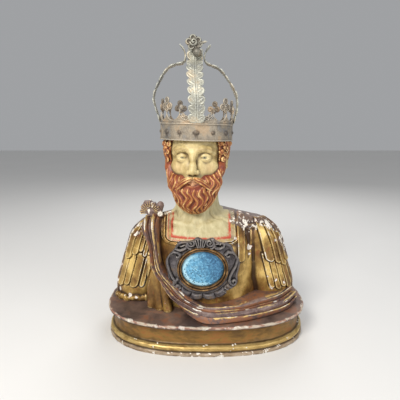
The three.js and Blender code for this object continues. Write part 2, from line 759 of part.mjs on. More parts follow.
const gilding = new THREE.MeshStandardMaterial({ color: 0xa98a45, roughness: 0.45, metalness: 0.6 });
const darkGilding = new THREE.MeshStandardMaterial({ color: 0x7a6033, roughness: 0.55, metalness: 0.5 });
const slate = new THREE.MeshStandardMaterial({ color: 0x5a565c, roughness: 0.5, metalness: 0.4 });
const blue = new THREE.MeshStandardMaterial({ color: 0x5fa8d6, roughness: 0.2, metalness: 0 });
const silver = new THREE.MeshStandardMaterial({ color: 0xa89f8c, roughness: 0.4, metalness: 0.9 });

function named(name, geometry, material) {
  const mesh = new THREE.Mesh(geometry, material);
  mesh.name = name;
  return mesh;
}

const reliquary = new THREE.Group();
reliquary.add(named('plinth', plinthGeometry(), darkGilding));
reliquary.add(named('bust', bustGeometry(), gilding));
reliquary.add(named('cartouche_frame', frameGeometry(), slate));
reliquary.add(named('window_rim', rimGeometry(), gilding));
reliquary.add(named('window_plate', plateGeometry(), blue));
crownGroup.add(named('crown_band', bandGeometry(), silver));
const hoops = [['front', 0, 90, 0], ['right', 90, 88.5, hoop.tipReach], ['back', 180, 90, hoop.tipReach]];
hoops.push(['left', -90, 93, hoop.tipReach]);
for (const [side, turn, bulge, tipReach] of hoops) {
  crownGroup.add(named(`crown_hoop_${side}`, hoopGeometry(turn, bulge, tipReach), silver));
}
crownGroup.add(named('crown_finial', finialGeometry(), silver));
reliquary.add(crownGroup);

export default reliquary;
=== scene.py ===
# A carved, painted and gilded reliquary bust with an arched crown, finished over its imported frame
import math
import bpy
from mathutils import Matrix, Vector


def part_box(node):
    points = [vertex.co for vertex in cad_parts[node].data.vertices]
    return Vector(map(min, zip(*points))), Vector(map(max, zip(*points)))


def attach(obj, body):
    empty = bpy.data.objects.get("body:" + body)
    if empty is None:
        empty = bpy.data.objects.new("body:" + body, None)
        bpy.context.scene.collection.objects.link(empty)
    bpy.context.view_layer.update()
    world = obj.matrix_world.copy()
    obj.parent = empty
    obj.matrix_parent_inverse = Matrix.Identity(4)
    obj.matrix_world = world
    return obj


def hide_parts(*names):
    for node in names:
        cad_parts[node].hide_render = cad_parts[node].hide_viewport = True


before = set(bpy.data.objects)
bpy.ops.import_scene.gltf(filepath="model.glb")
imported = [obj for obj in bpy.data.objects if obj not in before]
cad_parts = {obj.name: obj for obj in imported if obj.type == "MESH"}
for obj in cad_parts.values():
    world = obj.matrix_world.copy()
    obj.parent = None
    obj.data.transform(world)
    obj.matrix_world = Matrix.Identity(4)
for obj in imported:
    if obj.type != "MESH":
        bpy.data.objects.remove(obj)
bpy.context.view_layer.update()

from copy import copy
from itertools import product

import bpy
import numpy as np
import openvdb
from mathutils import Vector

# Sizes in millimetres unless a name says otherwise; the meshes are made in metres
MM = 0.001
BODY = "root"
PLINTH_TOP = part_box("plinth")[1][2] / MM
CLEARANCE = 0.3
EYE_LINE = PLINTH_TOP + 336
HEAD_X = -22.0
HEAD_TURN = math.radians(5)
CROWN_Y = 5.0
CROWN_FOOT = EYE_LINE + 33
CROWN_TILT = math.radians(1.5)
CROWN_INNER = 77.4
BAND_TOP = 35.0
# The seat of the window's frame: its plane, how far it is flat each way, and the round it bends on beyond
SEAT_Y = -80.0
SEAT_FLAT = 54.0
SEAT_ROUND = 45.0
# The middle of the window
WINDOW_X = -8.0
WINDOW_Z = PLINTH_TOP + 98.5

# The most triangles of each piece, under a million in all
TRIANGLES = {"carved_head": 176000, "carved_torso": 176000, "carved_mantle": 128000, "carved_knot": 30000,
             "carved_frame": 100000, "crown_band_sheet": 106000, "crown_flower": 30000}
HOOP_TRIANGLES = 40000

# The seeds of the random draws
SEEDS = {"head": 5, "beard": 4, "hair": 9, "torso": 3, "hem": 12, "loss": 21, "loss_edge": 22,
         "mantle_loss": 31, "mantle": 32, "mantle_wear": 33, "knot": 41, "base_loss": 51, "base_edge": 52,
         "base": 53, "frame": 61, "band": 71, "hoops": 81}


# Clay: carving as a grid of distances, negative inside the form; FAR stands where nothing is near
FAR = 7.0


def join(a, b, soft):
    share = np.clip(0.5 + 0.5 * (b - a) / soft, 0, 1)
    return b + (a - b) * share - soft * share * (1 - share)


def cut(a, b, soft):
    return -join(-a, b, soft)


def ease(low, high, value):
    t = np.clip((value - low) / (high - low), 0, 1)
    return t * t * (3 - 2 * t)


class Form:
    """A solid given by its distance function and the box that holds it."""

    def __init__(self, low, high, distance):
        self.low = np.array(low, np.float32)
        self.high = np.array(high, np.float32)
        self.distance = distance


def ball(centre, radii, axes=None):
    c = np.array(centre, np.float32)
    r = np.array(radii, np.float32) * np.ones(3, np.float32)
    turn = np.eye(3, dtype=np.float32) if axes is None else np.array(axes, np.float32)

    def distance(x, y, z):
        k, g = 1e-8, 1e-8 / r.min() ** 2
        for axis in range(3):
            along = (x - c[0]) * turn[axis, 0] + (y - c[1]) * turn[axis, 1] + (z - c[2]) * turn[axis, 2]
            k = k + (along / r[axis]) ** 2
            g = g + (along / r[axis] ** 2) ** 2
        k = np.sqrt(k)
        return k * (k - 1) / np.sqrt(g)

    reach = r if axes is None else r.max() * np.ones(3, np.float32)
    return Form(c - reach, c + reach, distance)


def rod(a, b, ra, rb):
    a, b = np.array(a, np.float32), np.array(b, np.float32)
    d = b - a
    square = float(d @ d) + 1e-9

    def distance(x, y, z):
        u, v, w = x - a[0], y - a[1], z - a[2]
        t = np.clip((u * d[0] + v * d[1] + w * d[2]) / square, 0, 1)
        return np.sqrt((u - d[0] * t) ** 2 + (v - d[1] * t) ** 2 + (w - d[2] * t) ** 2) - (ra + (rb - ra) * t)

    wide = max(ra, rb)
    return Form(np.minimum(a, b) - wide, np.maximum(a, b) + wide, distance)


def chain(points, radii):
    return [rod(a, b, ra, rb) for a, b, ra, rb in zip(points, points[1:], radii, radii[1:])]


def spiral(centre, reach, start, turns, steps=16):
    """Points of a scroll winding in from a start angle in degrees; turns may be negative."""
    t = np.linspace(0, 1, steps)
    turn = math.radians(start) + 2 * math.pi * turns * t
    r = reach * (1 - 0.82 * t)
    return [(centre[0] + a * math.cos(b), centre[1] + a * math.sin(b)) for a, b in zip(r, turn)]


def smooth_line(stops, share):
    """Points of a centripetal curve through the stops, at shares of its span."""
    stops = np.array(stops, float)
    full = np.vstack([2 * stops[0] - stops[1], stops, 2 * stops[-1] - stops[-2]])
    at = np.asarray(share) * (len(stops) - 1)
    i = np.clip(np.floor(at).astype(int), 0, len(stops) - 2)
    t = (at - i)[..., None]
    p0, p1, p2, p3 = (full[i + k] for k in range(4))
    d0, d1, d2 = (np.sqrt(np.linalg.norm(b - a, axis=-1, keepdims=True))
                  for a, b in ((p0, p1), (p1, p2), (p2, p3)))
    s1 = ((p1 - p0) / d0 - (p2 - p0) / (d0 + d1) + (p2 - p1) / d1) * d1
    s2 = ((p2 - p1) / d1 - (p3 - p1) / (d1 + d2) + (p3 - p2) / d2) * d1
    return p1 + s1 * t + (3 * (p2 - p1) - 2 * s1 - s2) * t ** 2 + (2 * (p1 - p2) + s1 + s2) * t ** 3


class Clay:
    """A block to be carved, from its lowest to its highest corner."""

    def __init__(self, low, high, step, far=FAR):
        self.low = np.array(low, np.float32)
        self.step = step
        count = np.ceil((np.array(high) - self.low) / step).astype(int) + 1
        self.field = np.full(count, far, np.float32)
        self.spare = None

    def blank(self):
        """An uncarved block of the same size."""
        other = copy(self)
        other.field = np.full_like(self.field, self.field.max())
        return other

    def axes(self, first, last):
        return [self.low[k] + self.step * np.arange(first[k], last[k], dtype=np.float32) for k in range(3)]

    def window(self, low, high):
        size = np.array(self.field.shape)
        first = np.clip(np.floor((np.array(low) - self.low) / self.step).astype(int), 0, size)
        last = np.clip(np.ceil((np.array(high) - self.low) / self.step).astype(int) + 1, 0, size)
        x, y, z = self.axes(first, last)
        part = tuple(slice(a, b) for a, b in zip(first, last))
        return part, x[:, None, None], y[None, :, None], z[None, None, :]

    def whole(self):
        x, y, z = self.axes((0, 0, 0), self.field.shape)
        return x[:, None, None], y[None, :, None], z[None, None, :]

    def add(self, form, soft=1.0, margin=4.0):
        part, x, y, z = self.window(form.low - soft - margin, form.high + soft + margin)
        if self.field[part].size:
            self.field[part] = join(self.field[part], form.distance(x, y, z), soft)

    def add_run(self, points, radii, soft):
        """Adds rods along points."""
        for form in chain(points, radii):
            self.add(form, soft)

    def add_strand(self, points, radii, soft=0.8):
        """Adds rods along points as one strand, which doesn't swell where they meet."""
        if self.spare is None:
            self.spare = np.full_like(self.field, FAR)
        strand, forms, margin = self.spare, chain(points, radii), 2.0
        for form in forms:
            part, x, y, z = self.window(form.low - margin, form.high + margin)
            if strand[part].size:
                strand[part] = np.minimum(strand[part], form.distance(x, y, z))
        low = np.min([form.low for form in forms], axis=0) - margin
        high = np.max([form.high for form in forms], axis=0) + margin
        part = self.window(low, high)[0]
        self.field[part] = join(self.field[part], strand[part], soft)
        strand[part] = FAR

    def cut(self, form, soft=1.0):
        part, x, y, z = self.window(form.low - soft, form.high + soft)
        if self.field[part].size:
            self.field[part] = cut(self.field[part], form.distance(x, y, z), soft)

    def cells(self, points):
        return (np.asarray(points, np.float32) - self.low) / self.step

    def read(self, points, field=None):
        """The field's value at points, between its cells."""
        grid = self.field if field is None else field
        at = self.cells(points)
        base = np.clip(np.floor(at).astype(int), 0, np.array(grid.shape) - 2)
        part = np.clip(at - base, 0, 1)
        total = np.zeros(len(at), np.float32)
        for corner in product((0, 1), repeat=3):
            share = np.prod([part[:, k] if corner[k] else 1 - part[:, k] for k in range(3)], axis=0)
            total += share * grid[tuple((base + corner).T)]
        return total

    def skin(self, starts, ways, far):
        """Where rays from starts leave the form for the last time."""
        starts = np.asarray(starts, np.float32)
        ways = np.asarray(ways, np.float32)
        ways = ways / np.linalg.norm(ways, axis=1, keepdims=True)
        reach = np.zeros(len(starts), np.float32)
        found = np.zeros(len(starts), bool)
        top = np.array(self.field.shape) - 1
        for t in np.arange(far, 0, -self.step / 2):
            at = np.round(self.cells(starts + ways * t)).astype(int)
            inside = (at >= 0).all(axis=1) & (at <= top).all(axis=1)
            at = np.clip(at, 0, top)
            solid = inside & (self.field[tuple(at.T)] < 0) & ~found
            reach[solid] = t
            found |= solid
            if found.all():
                break
        return starts + ways * reach[:, None]

    def blurred(self, passes, field=None):
        out = (self.field if field is None else field).copy()
        for _ in range(passes):
            for axis in range(3):
                out = 0.5 * out + 0.25 * (np.roll(out, 1, axis) + np.roll(out, -1, axis))
        return out

    def coarse(self, share):
        """The same block at a coarser step, smoothed, its distances clipped alike inside and out."""
        other = copy(self)
        other.step = self.step * share
        near = 1.2 * other.step
        other.field = np.clip(self.field, -near, near)[::share, ::share, ::share]
        other.field = other.blurred(4)
        return other

    def mesh(self, name, place):
        """The carved skin as an object; place moves its points, in millimetres."""
        self.field[[0, -1], :, :] = FAR
        self.field[:, [0, -1], :] = FAR
        self.field[:, :, [0, -1]] = FAR
        volume = openvdb.FloatGrid(FAR)
        volume.copyFromArray(self.field.astype(np.float32))
        points, triangles, quads = volume.convertToPolygons(isovalue=0.0, adaptivity=0.0)
        faces = [tuple(face) for face in triangles] + [tuple(face) for face in quads]
        points = self.low + np.asarray(points, np.float32) * self.step
        piece = made_mesh(name, points, faces)
        thin_out(piece, TRIANGLES.get(name, HOOP_TRIANGLES))
        carved = vertices_of(piece) / MM
        set_vertices(piece, place(carved) * MM)
        if signed_volume(piece) < 0:
            piece.data.flip_normals()
        return piece, carved


def scatter(shape, cell, seed):
    """A smooth random field from -1 to 1: a coarse random grid read between its points."""
    draw = np.random.default_rng(seed)
    counts = [int(math.ceil(n / cell)) + 2 for n in shape]
    out = draw.uniform(-1, 1, counts).astype(np.float32)
    for axis in range(3):
        at = np.arange(shape[axis], dtype=np.float32) / cell
        base = np.floor(at).astype(int)
        part = (at - base).reshape([-1 if k == axis else 1 for k in range(3)])
        part = part * part * (3 - 2 * part)
        out = np.take(out, base, axis) * (1 - part) + np.take(out, base + 1, axis) * part
    return out


# Meshes
def made_mesh(name, points, faces):
    data = bpy.data.meshes.new(name)
    data.from_pydata((np.asarray(points, float) * MM).tolist(), [], faces)
    data.update()
    data.polygons.foreach_set("use_smooth", [True] * len(data.polygons))
    piece = bpy.data.objects.new(name, data)
    bpy.context.scene.collection.objects.link(piece)
    return piece


def only(piece):
    bpy.ops.object.select_all(action="DESELECT")
    piece.select_set(True)
    bpy.context.view_layer.objects.active = piece


def apply_modifier(piece, kind, **settings):
    only(piece)
    modifier = piece.modifiers.new(kind.title(), kind)
    for key, value in settings.items():
        setattr(modifier, key, value)
    bpy.ops.object.modifier_apply(modifier=modifier.name)


def thin_out(piece, most):
    """Merges the flattest faces until no more triangles than the most are left."""
    count = sum(len(face.vertices) - 2 for face in piece.data.polygons)
    if count > most:
        apply_modifier(piece, "DECIMATE", ratio=most / count)


def vertices_of(piece):
    flat = np.empty(len(piece.data.vertices) * 3, np.float32)
    piece.data.vertices.foreach_get("co", flat)
    return flat.reshape(-1, 3)


def set_vertices(piece, points):
    piece.data.vertices.foreach_set("co", np.asarray(points, np.float32).ravel())
    piece.data.update()


def signed_volume(piece):
    data = piece.data
    data.calc_loop_triangles()
    corners = np.empty(len(data.loop_triangles) * 3, np.int32)
    data.loop_triangles.foreach_get("vertices", corners)
    a, b, c = vertices_of(piece).astype(float)[corners.reshape(-1, 3)].transpose(1, 0, 2)
    return float(np.einsum("ij,ij->i", a, np.cross(b, c)).sum() / 6)


def mark(piece, name, values):
    """A value for each vertex, which the piece's material reads."""
    layer = piece.data.attributes.new(name, "FLOAT", "POINT")
    layer.data.foreach_set("value", np.asarray(values, np.float32).ravel())


def wear_and_shade_marks(piece, clay, carved):
    """Marks how proud and how hollow the carving is at each vertex, in detail and at large: the proud marks
    lead worn edges, the hollow ones dirt and painted shade.
    """
    fine = clay.blurred(2)
    broad = clay.blurred(7, fine)
    mark(piece, "edge", clay.read(carved, fine) - clay.read(carved))
    mark(piece, "hollow", clay.read(carved) - clay.read(carved, broad))
    mark(piece, "deep", -clay.coarse(4).read(carved))


# Shader values as Python expressions
class Tone:
    """The output of a node; sums and products of values add Math nodes."""

    def __init__(self, paint, socket):
        self.paint = paint
        self.socket = socket

    def _math(self, operation, *values):
        inputs = dict(enumerate(values))
        return self.paint.node("ShaderNodeMath", {"operation": operation}, inputs)

    def __add__(self, other):
        return self._math("ADD", self, other)

    def __radd__(self, other):
        return self._math("ADD", other, self)

    def __sub__(self, other):
        return self._math("SUBTRACT", self, other)

    def __rsub__(self, other):
        return self._math("SUBTRACT", other, self)

    def __mul__(self, other):
        return self._math("MULTIPLY", self, other)

    def __rmul__(self, other):
        return self._math("MULTIPLY", other, self)

    def __truediv__(self, other):
        return self._math("DIVIDE", self, other)

    def most(self, other):
        return self._math("MAXIMUM", self, other)

    def broken(self, noise, share):
        """The value with noise added, so that the edges it makes are ragged."""
        return self + share * (noise - 0.5)

    def between(self, low, high):
        """0 below low, 1 above high and smooth between, or the other way round."""
        settings = {"interpolation_type": "SMOOTHSTEP"}
        return self.paint.node("ShaderNodeMapRange", settings, {0: self, 1: low, 2: high})


class Paint:
    """A material under construction."""

    def __init__(self, name):
        self.material = bpy.data.materials.new(name)
        self.material.use_nodes = True
        self.tree = self.material.node_tree
        self.shader = self.tree.nodes["Principled BSDF"]
        self.place = self.node("ShaderNodeTexCoord", {}, {}, "Object")

    def node(self, kind, settings, inputs, output=0):
        made = self.tree.nodes.new(kind)
        for name, value in settings.items():
            if name == "stops":
                self._set_stops(made.color_ramp, value)
            else:
                setattr(made, name, value)
        for key, value in inputs.items():
            if isinstance(value, Tone):
                self.tree.links.new(value.socket, made.inputs[key])
            else:
                made.inputs[key].default_value = value
        return Tone(self, made.outputs[output])

    @staticmethod
    def _set_stops(ramp, stops):
        while len(ramp.elements) < len(stops):
            ramp.elements.new(0.5)
        for element, (position, colour) in zip(ramp.elements, stops):
            element.position = position
            element.color = (*colour, 1.0)

    def marked(self, name):
        return self.node("ShaderNodeAttribute", {"attribute_name": name}, {}, "Fac")

    def stretched(self, x, y, z):
        inputs = {0: self.place, 1: (x, y, z)}
        return self.node("ShaderNodeVectorMath", {"operation": "MULTIPLY"}, inputs)

    def noise(self, grain, detail, rough, bend=0.0, at=None):
        """Random patches about grain millimetres across."""
        inputs = {"Vector": at or self.place, "Scale": 1 / (grain * MM), "Detail": detail}
        inputs.update({"Roughness": rough, "Distortion": bend})
        return self.node("ShaderNodeTexNoise", {}, inputs)

    def specks(self, grain, at=None):
        """The distance from the nearest of scattered spots about grain millimetres apart."""
        inputs = {"Vector": at or self.place, "Scale": 1 / (grain * MM)}
        return self.node("ShaderNodeTexVoronoi", {"feature": "F1"}, inputs)

    def blend(self, under, over, mask):
        inputs = {0: mask}
        for slot, colour in ((6, under), (7, over)):
            inputs[slot] = colour if isinstance(colour, Tone) else (*colour, 1.0)
        return self.node("ShaderNodeMix", {"data_type": "RGBA"}, inputs, 2)

    def coats(self, colour, *coats):
        """A colour under coats of others, each with the mask that says where it lies."""
        for over, mask in coats:
            colour = self.blend(colour, over, mask)
        return colour

    def ramp(self, value, stops):
        return self.node("ShaderNodeValToRGB", {"stops": stops}, {0: value})

    def bump(self, height, depth, strength):
        inputs = {"Height": height, "Distance": depth * MM, "Strength": strength}
        return self.node("ShaderNodeBump", {}, inputs, "Normal")

    def finish(self, **sockets):
        for name, value in sockets.items():
            socket = self.shader.inputs[name.replace("_", " ").title()]
            if isinstance(value, Tone):
                self.tree.links.new(value.socket, socket)
            else:
                socket.default_value = value
        return self.material


def dress(piece, paint, node):
    piece.data.materials.append(paint)
    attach(piece, BODY)
    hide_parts(node)


# The head, carved in a frame of its own: eyes at height 0, the face towards -y
HEAD_BLOCK = ((-86, -106, -128), (86, 104, 66), 1.0)
HEAD_REACH = 140
# An eye: its middle, the reach of its ball, and how far its lids reach, how thick they are and how they open
EYE = (23.5, -50.8, -1.0)
EYE_RADIUS = 12.4
EYE_HALF_WIDTH = 13.0
LID = 1.2
LID_UP, LID_DOWN = 3.8, 3.2
# The beard: its strands, how far round it reaches in degrees, and the length of its waves and the hair's
STRANDS = 49
BEARD_SPREAD = 104
BEARD_WAVE, HAIR_WAVE = 36, 34
# How far up inside the crown's band the skull reaches
SKULL_SHARE = 0.85
# The middle line of a whisker and its thickness, from the temple down
WHISKER = [((60, -12, 4), 7), ((57, -20, -11), 8.5), ((54, -28, -26), 10), ((47, -37, -41), 12),
           ((40, -46, -56), 14)]
# Curls at the temple: place, the way they face in degrees and reach
TEMPLE_CURLS = [
    ((56, -38, 27), 35, 6.5), ((63, -29, 18), 50, 6.5), ((58, -36, 9), 40, 5.5), ((67, -19, 28), 65, 7),
    ((64, -25, 2), 55, 5.5), ((71, -6, 25), 85, 7), ((61, -31, -9), 48, 5), ((73, 8, 24), 90, 7),
    ((68, -16, 14), 70, 5.5)]
# Tiers of the hair: their upper and lower height and how many locks they have
HAIR_TIERS = ((36, -8, 34), (8, -40, 32), (-26, -72, 24))


def on_head(points):
    """From the head's own frame to the bust's."""
    c, s = math.cos(-HEAD_TURN), math.sin(-HEAD_TURN)
    x, y, z = points.T
    return np.stack([HEAD_X + c * x - s * y, s * x + c * y, EYE_LINE + z], axis=1)


def carve_eye(face, side):
    middle = np.array([side * EYE[0], EYE[1], EYE[2]])
    face.cut(ball((side * 23, -73, 3), (15, 13, 9)), 7)
    face.add(ball(middle, EYE_RADIUS), 1.2)

    def lids(x, y, z):
        shell = ball(middle, EYE_RADIUS + LID).distance(x, y, z)
        across = (x - middle[0]) / EYE_HALF_WIDTH
        centre = middle[2] - 0.8 + 0.6 * across * side
        tall = np.where(z > centre, LID_UP, LID_DOWN)
        opening = np.abs(z - centre) - tall * (1 - across ** 2)
        return np.maximum(shell, np.where(y < middle[1] + 2, -opening * 0.8, shell))

    face.add(Form(middle - EYE_RADIUS - LID, middle + EYE_RADIUS + LID, lids), 1.6)
    crease = [(side * 12, -62.5, 4.5), (side * 18, -66.5, 8.6), (side * 27, -65.0, 9), (side * 35, -57.5, 5)]
    for groove in chain(crease, (0.7, 1.2, 1.2, 0.7)):
        face.cut(groove, 1.6)


def carve_face(face):
    face.add(ball((0, 8, 18), (61, 76, 66)))
    face.add(ball((0, -22, -34), (45, 46, 53)), 14)
    for side in (-1, 1):
        face.add(ball((side * 32, -41, -20), (16, 11, 14)), 14)
        face.add(ball((side * 13, -56, -25), (8, 9, 13)), 10)
        face.add(rod((side * 38, 2, -40), (side * 16, -46, -72), 12, 11), 12)
        brow = [(side * 7, -66, 9), (side * 20, -65.5, 14.5), (side * 33, -58, 13), (side * 42, -48, 7)]
        face.add_run(brow, (5.6, 5.6, 5.4, 5), 7)
        carve_eye(face, side)
    face.add_run([(0, -64, 10), (0, -71, 0), (0, -80, -18), (0, -83.5, -27)], (5.8, 5.4, 6.4, 7.4), 7)
    face.add(ball((0, -84.5, -28.5), (7.6, 7, 6.4)), 3)
    for side in (-1, 1):
        face.add(ball((side * 8.6, -77, -30.5), (5.4, 7.5, 5.6)), 2.5)
        face.cut(ball((side * 4.8, -82, -36.2), (2.7, 4.4, 2.4)), 1.5)
    face.add(ball((0, -63, -50), (21, 13, 14)), 9)
    face.add(ball((0, -64, -76), (17, 14, 13)), 9)
    face.cut(rod((0, -78.5, -38), (0, -78, -44), 1.6, 2.2), 3)
    for side in (-1, 1):
        face.add(rod((side * 1.5, -75.6, -47.6), (side * 15, -69, -50.6), 3.3, 1.5), 2)
        face.add(rod((0, -75, -55.6), (side * 12, -69.5, -53), 4.2, 1.8), 2)
        face.cut(rod((0, -79.6, -51.4), (side * 15.5, -71, -51.2), 0.9, 0.7), 1)
        carve_ear(face, side)


def carve_ear(face, side):
    face.add(ball((side * 64, 1, -8), (6, 12, 19)), 3)
    helix = [(64, -8, -2), (68, -7, 8), (70.5, 2, 12.5), (71.5, 12, 7), (70, 13, -5), (68, 7, -17),
             (66.5, -2, -25)]
    face.add_run([(side * x, y, z) for x, y, z in helix], (2.6, 2.8, 3, 3, 2.8, 2.6, 3.4), 1.5)
    face.add(ball((side * 66, -4, -25), (4.2, 5.5, 6)), 2)
    face.cut(ball((side * 72, 1, -7), (4.5, 6.5, 9)), 2)


def lay_lock(hair, base, starts, ways, radii, lift):
    """A lock of hair: a tapering strand laid over the mass along a row of rays."""
    points = base.skin(starts, ways, HEAD_REACH)
    for _ in range(4):
        points[1:-1] = 0.5 * points[1:-1] + 0.25 * (points[2:] + points[:-2])
    points = points + lift * ways / np.linalg.norm(ways, axis=1, keepdims=True)
    hair.add_strand(points, radii)


def carve_beard(hair, base):
    """Strands in locks of three that follow one waving flow, and a row of curls at the foot."""
    middle = np.array([0, -22, -62], float)
    draw = np.random.default_rng(SEEDS["beard"])
    t = np.linspace(0, 1, 34)
    grow = ease(0, 0.15, t)
    half = STRANDS // 2
    for i in range(-half, half + 1):
        along = i / half
        lock, place = (i + half) // 3, (i + half) % 3 - 1
        top = 44 - 22 * (1 - abs(along)) ** 0.9 if abs(along) > 0.22 else 1
        foot = -84 + 10 * math.sin(2.1 * lock) + 14 * abs(along)
        rise = top + (foot - top) * t
        wave = 2 * math.pi * rise / BEARD_WAVE
        flow = 7.5 * np.sin(wave + 0.9 * math.sin(1.7 * lock) + 0.5 * along)
        turn = along * BEARD_SPREAD * (1 - 0.22 * t) + flow * ease(0, 0.25, t) - 2.0 * place * t
        turn, lift = np.radians(turn), np.radians(rise)
        ways = np.stack([np.sin(turn) * np.cos(lift), -np.cos(turn) * np.cos(lift), np.sin(lift)], axis=1)
        radii = (2.9, 2.3)[abs(place)] * (0.4 + 0.6 * grow) * (1 - 0.5 * t ** 5)
        proud = (1.9, 0.3)[abs(place)] + 0.8 * np.sin(wave + 1.2) + draw.uniform(-0.4, 0.4)
        proud = proud * grow - 1.8 * (1 - grow)
        lay_lock(hair, base, np.tile(middle, (len(t), 1)), ways, radii, proud[:, None])
    for i in range(9):
        x = -36 + 9 * i
        foot = base.skin([middle], [(0.75 * x, -22 - 0.02 * x * x, -58 + 0.012 * x * x)], HEAD_REACH)[0]
        curl = [(foot[0] + 0.8 * (a - x * 0.75), foot[1] - 1.0, foot[2] + 2 + b) for a, b in
                spiral((x * 0.75, 0), 5.0, 100 + 40 * (i % 3), (-1) ** i * 1.1, 14)]
        hair.add_strand(curl, np.linspace(2.3, 1.6, len(curl)))


def carve_whiskers(hair):
    """Strands down the whiskers, from the temples over the edges of the cheeks."""
    t = np.linspace(0, 1, 16)
    for side in (-1, 1):
        line = smooth_line([(side * x, y, z) for (x, y, z), _ in WHISKER], t)
        reach = np.interp(t, np.linspace(0, 1, len(WHISKER)), [r for _, r in WHISKER])
        for k in range(8):
            turn = math.radians(-75 + 24 * k) + 0.22 * np.sin(9 * t + 1.9 * k)
            out = np.stack([side * np.sin(turn), -np.cos(turn), 0 * turn], axis=1)
            points = line + out * (reach - 0.6 + 0.8 * (k % 2))[:, None]
            radii = (2.4 - 0.3 * (k % 2)) * (0.6 + 0.4 * np.sin(math.pi * t))
            hair.add_strand(points, radii)


def carve_moustache(hair):
    t = np.linspace(0, 1, 22)
    radii = 2.3 * np.sin(math.pi * (0.12 + 0.8 * t)) ** 0.7
    for side in (-1, 1):
        for k in range(4):
            up = 3.0 * k
            proud = 1.1 * (k % 2)
            stops = [(1.5, -84 + 0.5 * k, -41 - up * 0.3), (9, -85.5 + 0.3 * k - proud, -41.5 - up * 0.7),
                     (19, -81.5 - proud, -45.5 - up), (29, -74 - proud, -54 - up),
                     (37, -66 - proud, -61 - 0.9 * up), (42, -58, -60 - 0.7 * up)]
            hair.add_strand(smooth_line([(side * x, y, z) for x, y, z in stops], t), radii, 0.5)


def lay_curl(hair, centre, facing, reach, start, turns):
    """A curl of hair wound on one spot; facing is the way it looks, in degrees from straight ahead."""
    c, s = math.cos(math.radians(facing)), math.sin(math.radians(facing))
    line = []
    for n, (a, b) in enumerate(spiral((0, 0), reach, start, turns)):
        line.append((centre[0] + c * a + s * 0.15 * n, centre[1] + s * a - c * 0.15 * n, centre[2] + b))
    hair.add(ball(centre, 0.8 * reach), 3)
    hair.add_strand(line, np.linspace(2.6, 1.8, len(line)), 0.6)


def carve_hair(hair, base):
    draw = np.random.default_rng(SEEDS["hair"])
    t = np.linspace(0, 1, 22)
    for tier, (top, foot, count) in enumerate(HAIR_TIERS):
        for i in range(count):
            spread = 206 - 14 * tier
            start = 180 + spread * ((i + 0.5 * (tier % 2)) / (count - 1) - 0.5)
            level = top + 3 * math.sin(1.9 * i) + (foot - top) * t
            flow = 6.5 * np.sin(2 * math.pi * level / HAIR_WAVE + 0.8 * math.sin(0.9 * i))
            turn = np.radians(start + flow)
            ways = np.stack([np.sin(turn), -np.cos(turn), 0 * t], axis=1)
            starts = np.stack([0 * t, 12 + 0 * t, level], axis=1)
            radii = (3.4 + 0.4 * (i % 2)) * np.sqrt(1 - 0.75 * t ** 3)
            lay_lock(hair, base, starts, ways, radii, 0.6 * (i % 2) + draw.uniform(-0.3, 0.3))
    for side in (-1, 1):
        for k, ((x, y, z), facing, reach) in enumerate(TEMPLE_CURLS):
            size = reach * (1 + 0.16 * math.sin(2.7 * k + side))
            lay_curl(hair, (side * x, y, z + side), side * facing, size, 60 + 65 * k, side * (-1) ** k * 1.15)


def make_head():
    face = Clay(*HEAD_BLOCK)
    carve_face(face)
    hair = Clay(*HEAD_BLOCK)
    hair.add(ball((0, 13, 12), (72, 78, 66)))
    hair.add(ball((0, 36, -42), (53, 43, 42)), 14)
    hair.cut(ball((0, -92, -8), (67, 94, 92)), 4)
    base = Clay(*HEAD_BLOCK)
    base.field = hair.field.copy()
    carve_hair(hair, base)
    beard = Clay(*HEAD_BLOCK)
    beard.add(ball((0, -33, -62), (52, 46, 40)))
    beard.add(ball((0, -38, -86), (39, 36, 36)), 14)
    for side in (-1, 1):
        stops = [((side * x, y, z), reach) for (x, y, z), reach in WHISKER[::2]]
        for (a, ra), (b, rb), soft in zip(stops, stops[1:], (8, 10)):
            beard.add(rod(a, b, ra, rb), soft)
    beard.cut(ball((0, -78, -19), (35, 38, 21)), 6)
    beard.cut(ball((0, -86, -53), (17, 14, 7)), 3)
    base.field = beard.field.copy()
    carve_beard(beard, base)
    carve_whiskers(beard)
    carve_moustache(beard)
    locks = np.minimum(hair.field, beard.field)
    head = Clay(*HEAD_BLOCK)
    head.field = join(face.field, locks, 0.6)
    x, y, z = head.whole()
    band_foot = CROWN_FOOT - EYE_LINE - x * math.tan(CROWN_TILT)
    inside_band = np.hypot(x - 0.4, y - CROWN_Y) - (CROWN_INNER - CLEARANCE)
    head.field = np.where(z > band_foot - 0.5, np.maximum(head.field, inside_band), head.field)
    skull_top = CROWN_FOOT - EYE_LINE + SKULL_SHARE * BAND_TOP
    head.field = np.maximum(head.field, z - skull_top + 0 * x + 0 * y)
    head.field += 0.35 * scatter(head.field.shape, 9, SEEDS["head"])
    piece, carved = head.mesh("carved_head", on_head)
    wear_and_shade_marks(piece, head, carved)
    x, y, z = carved.T
    crown = ease(38, 42, z) * ease(-56, -50, y)
    mark(piece, "hair", np.maximum(ease(-0.7, 0.7, head.read(carved, face.field - locks)), crown))
    paint_face(piece, x, y, z)
    return piece


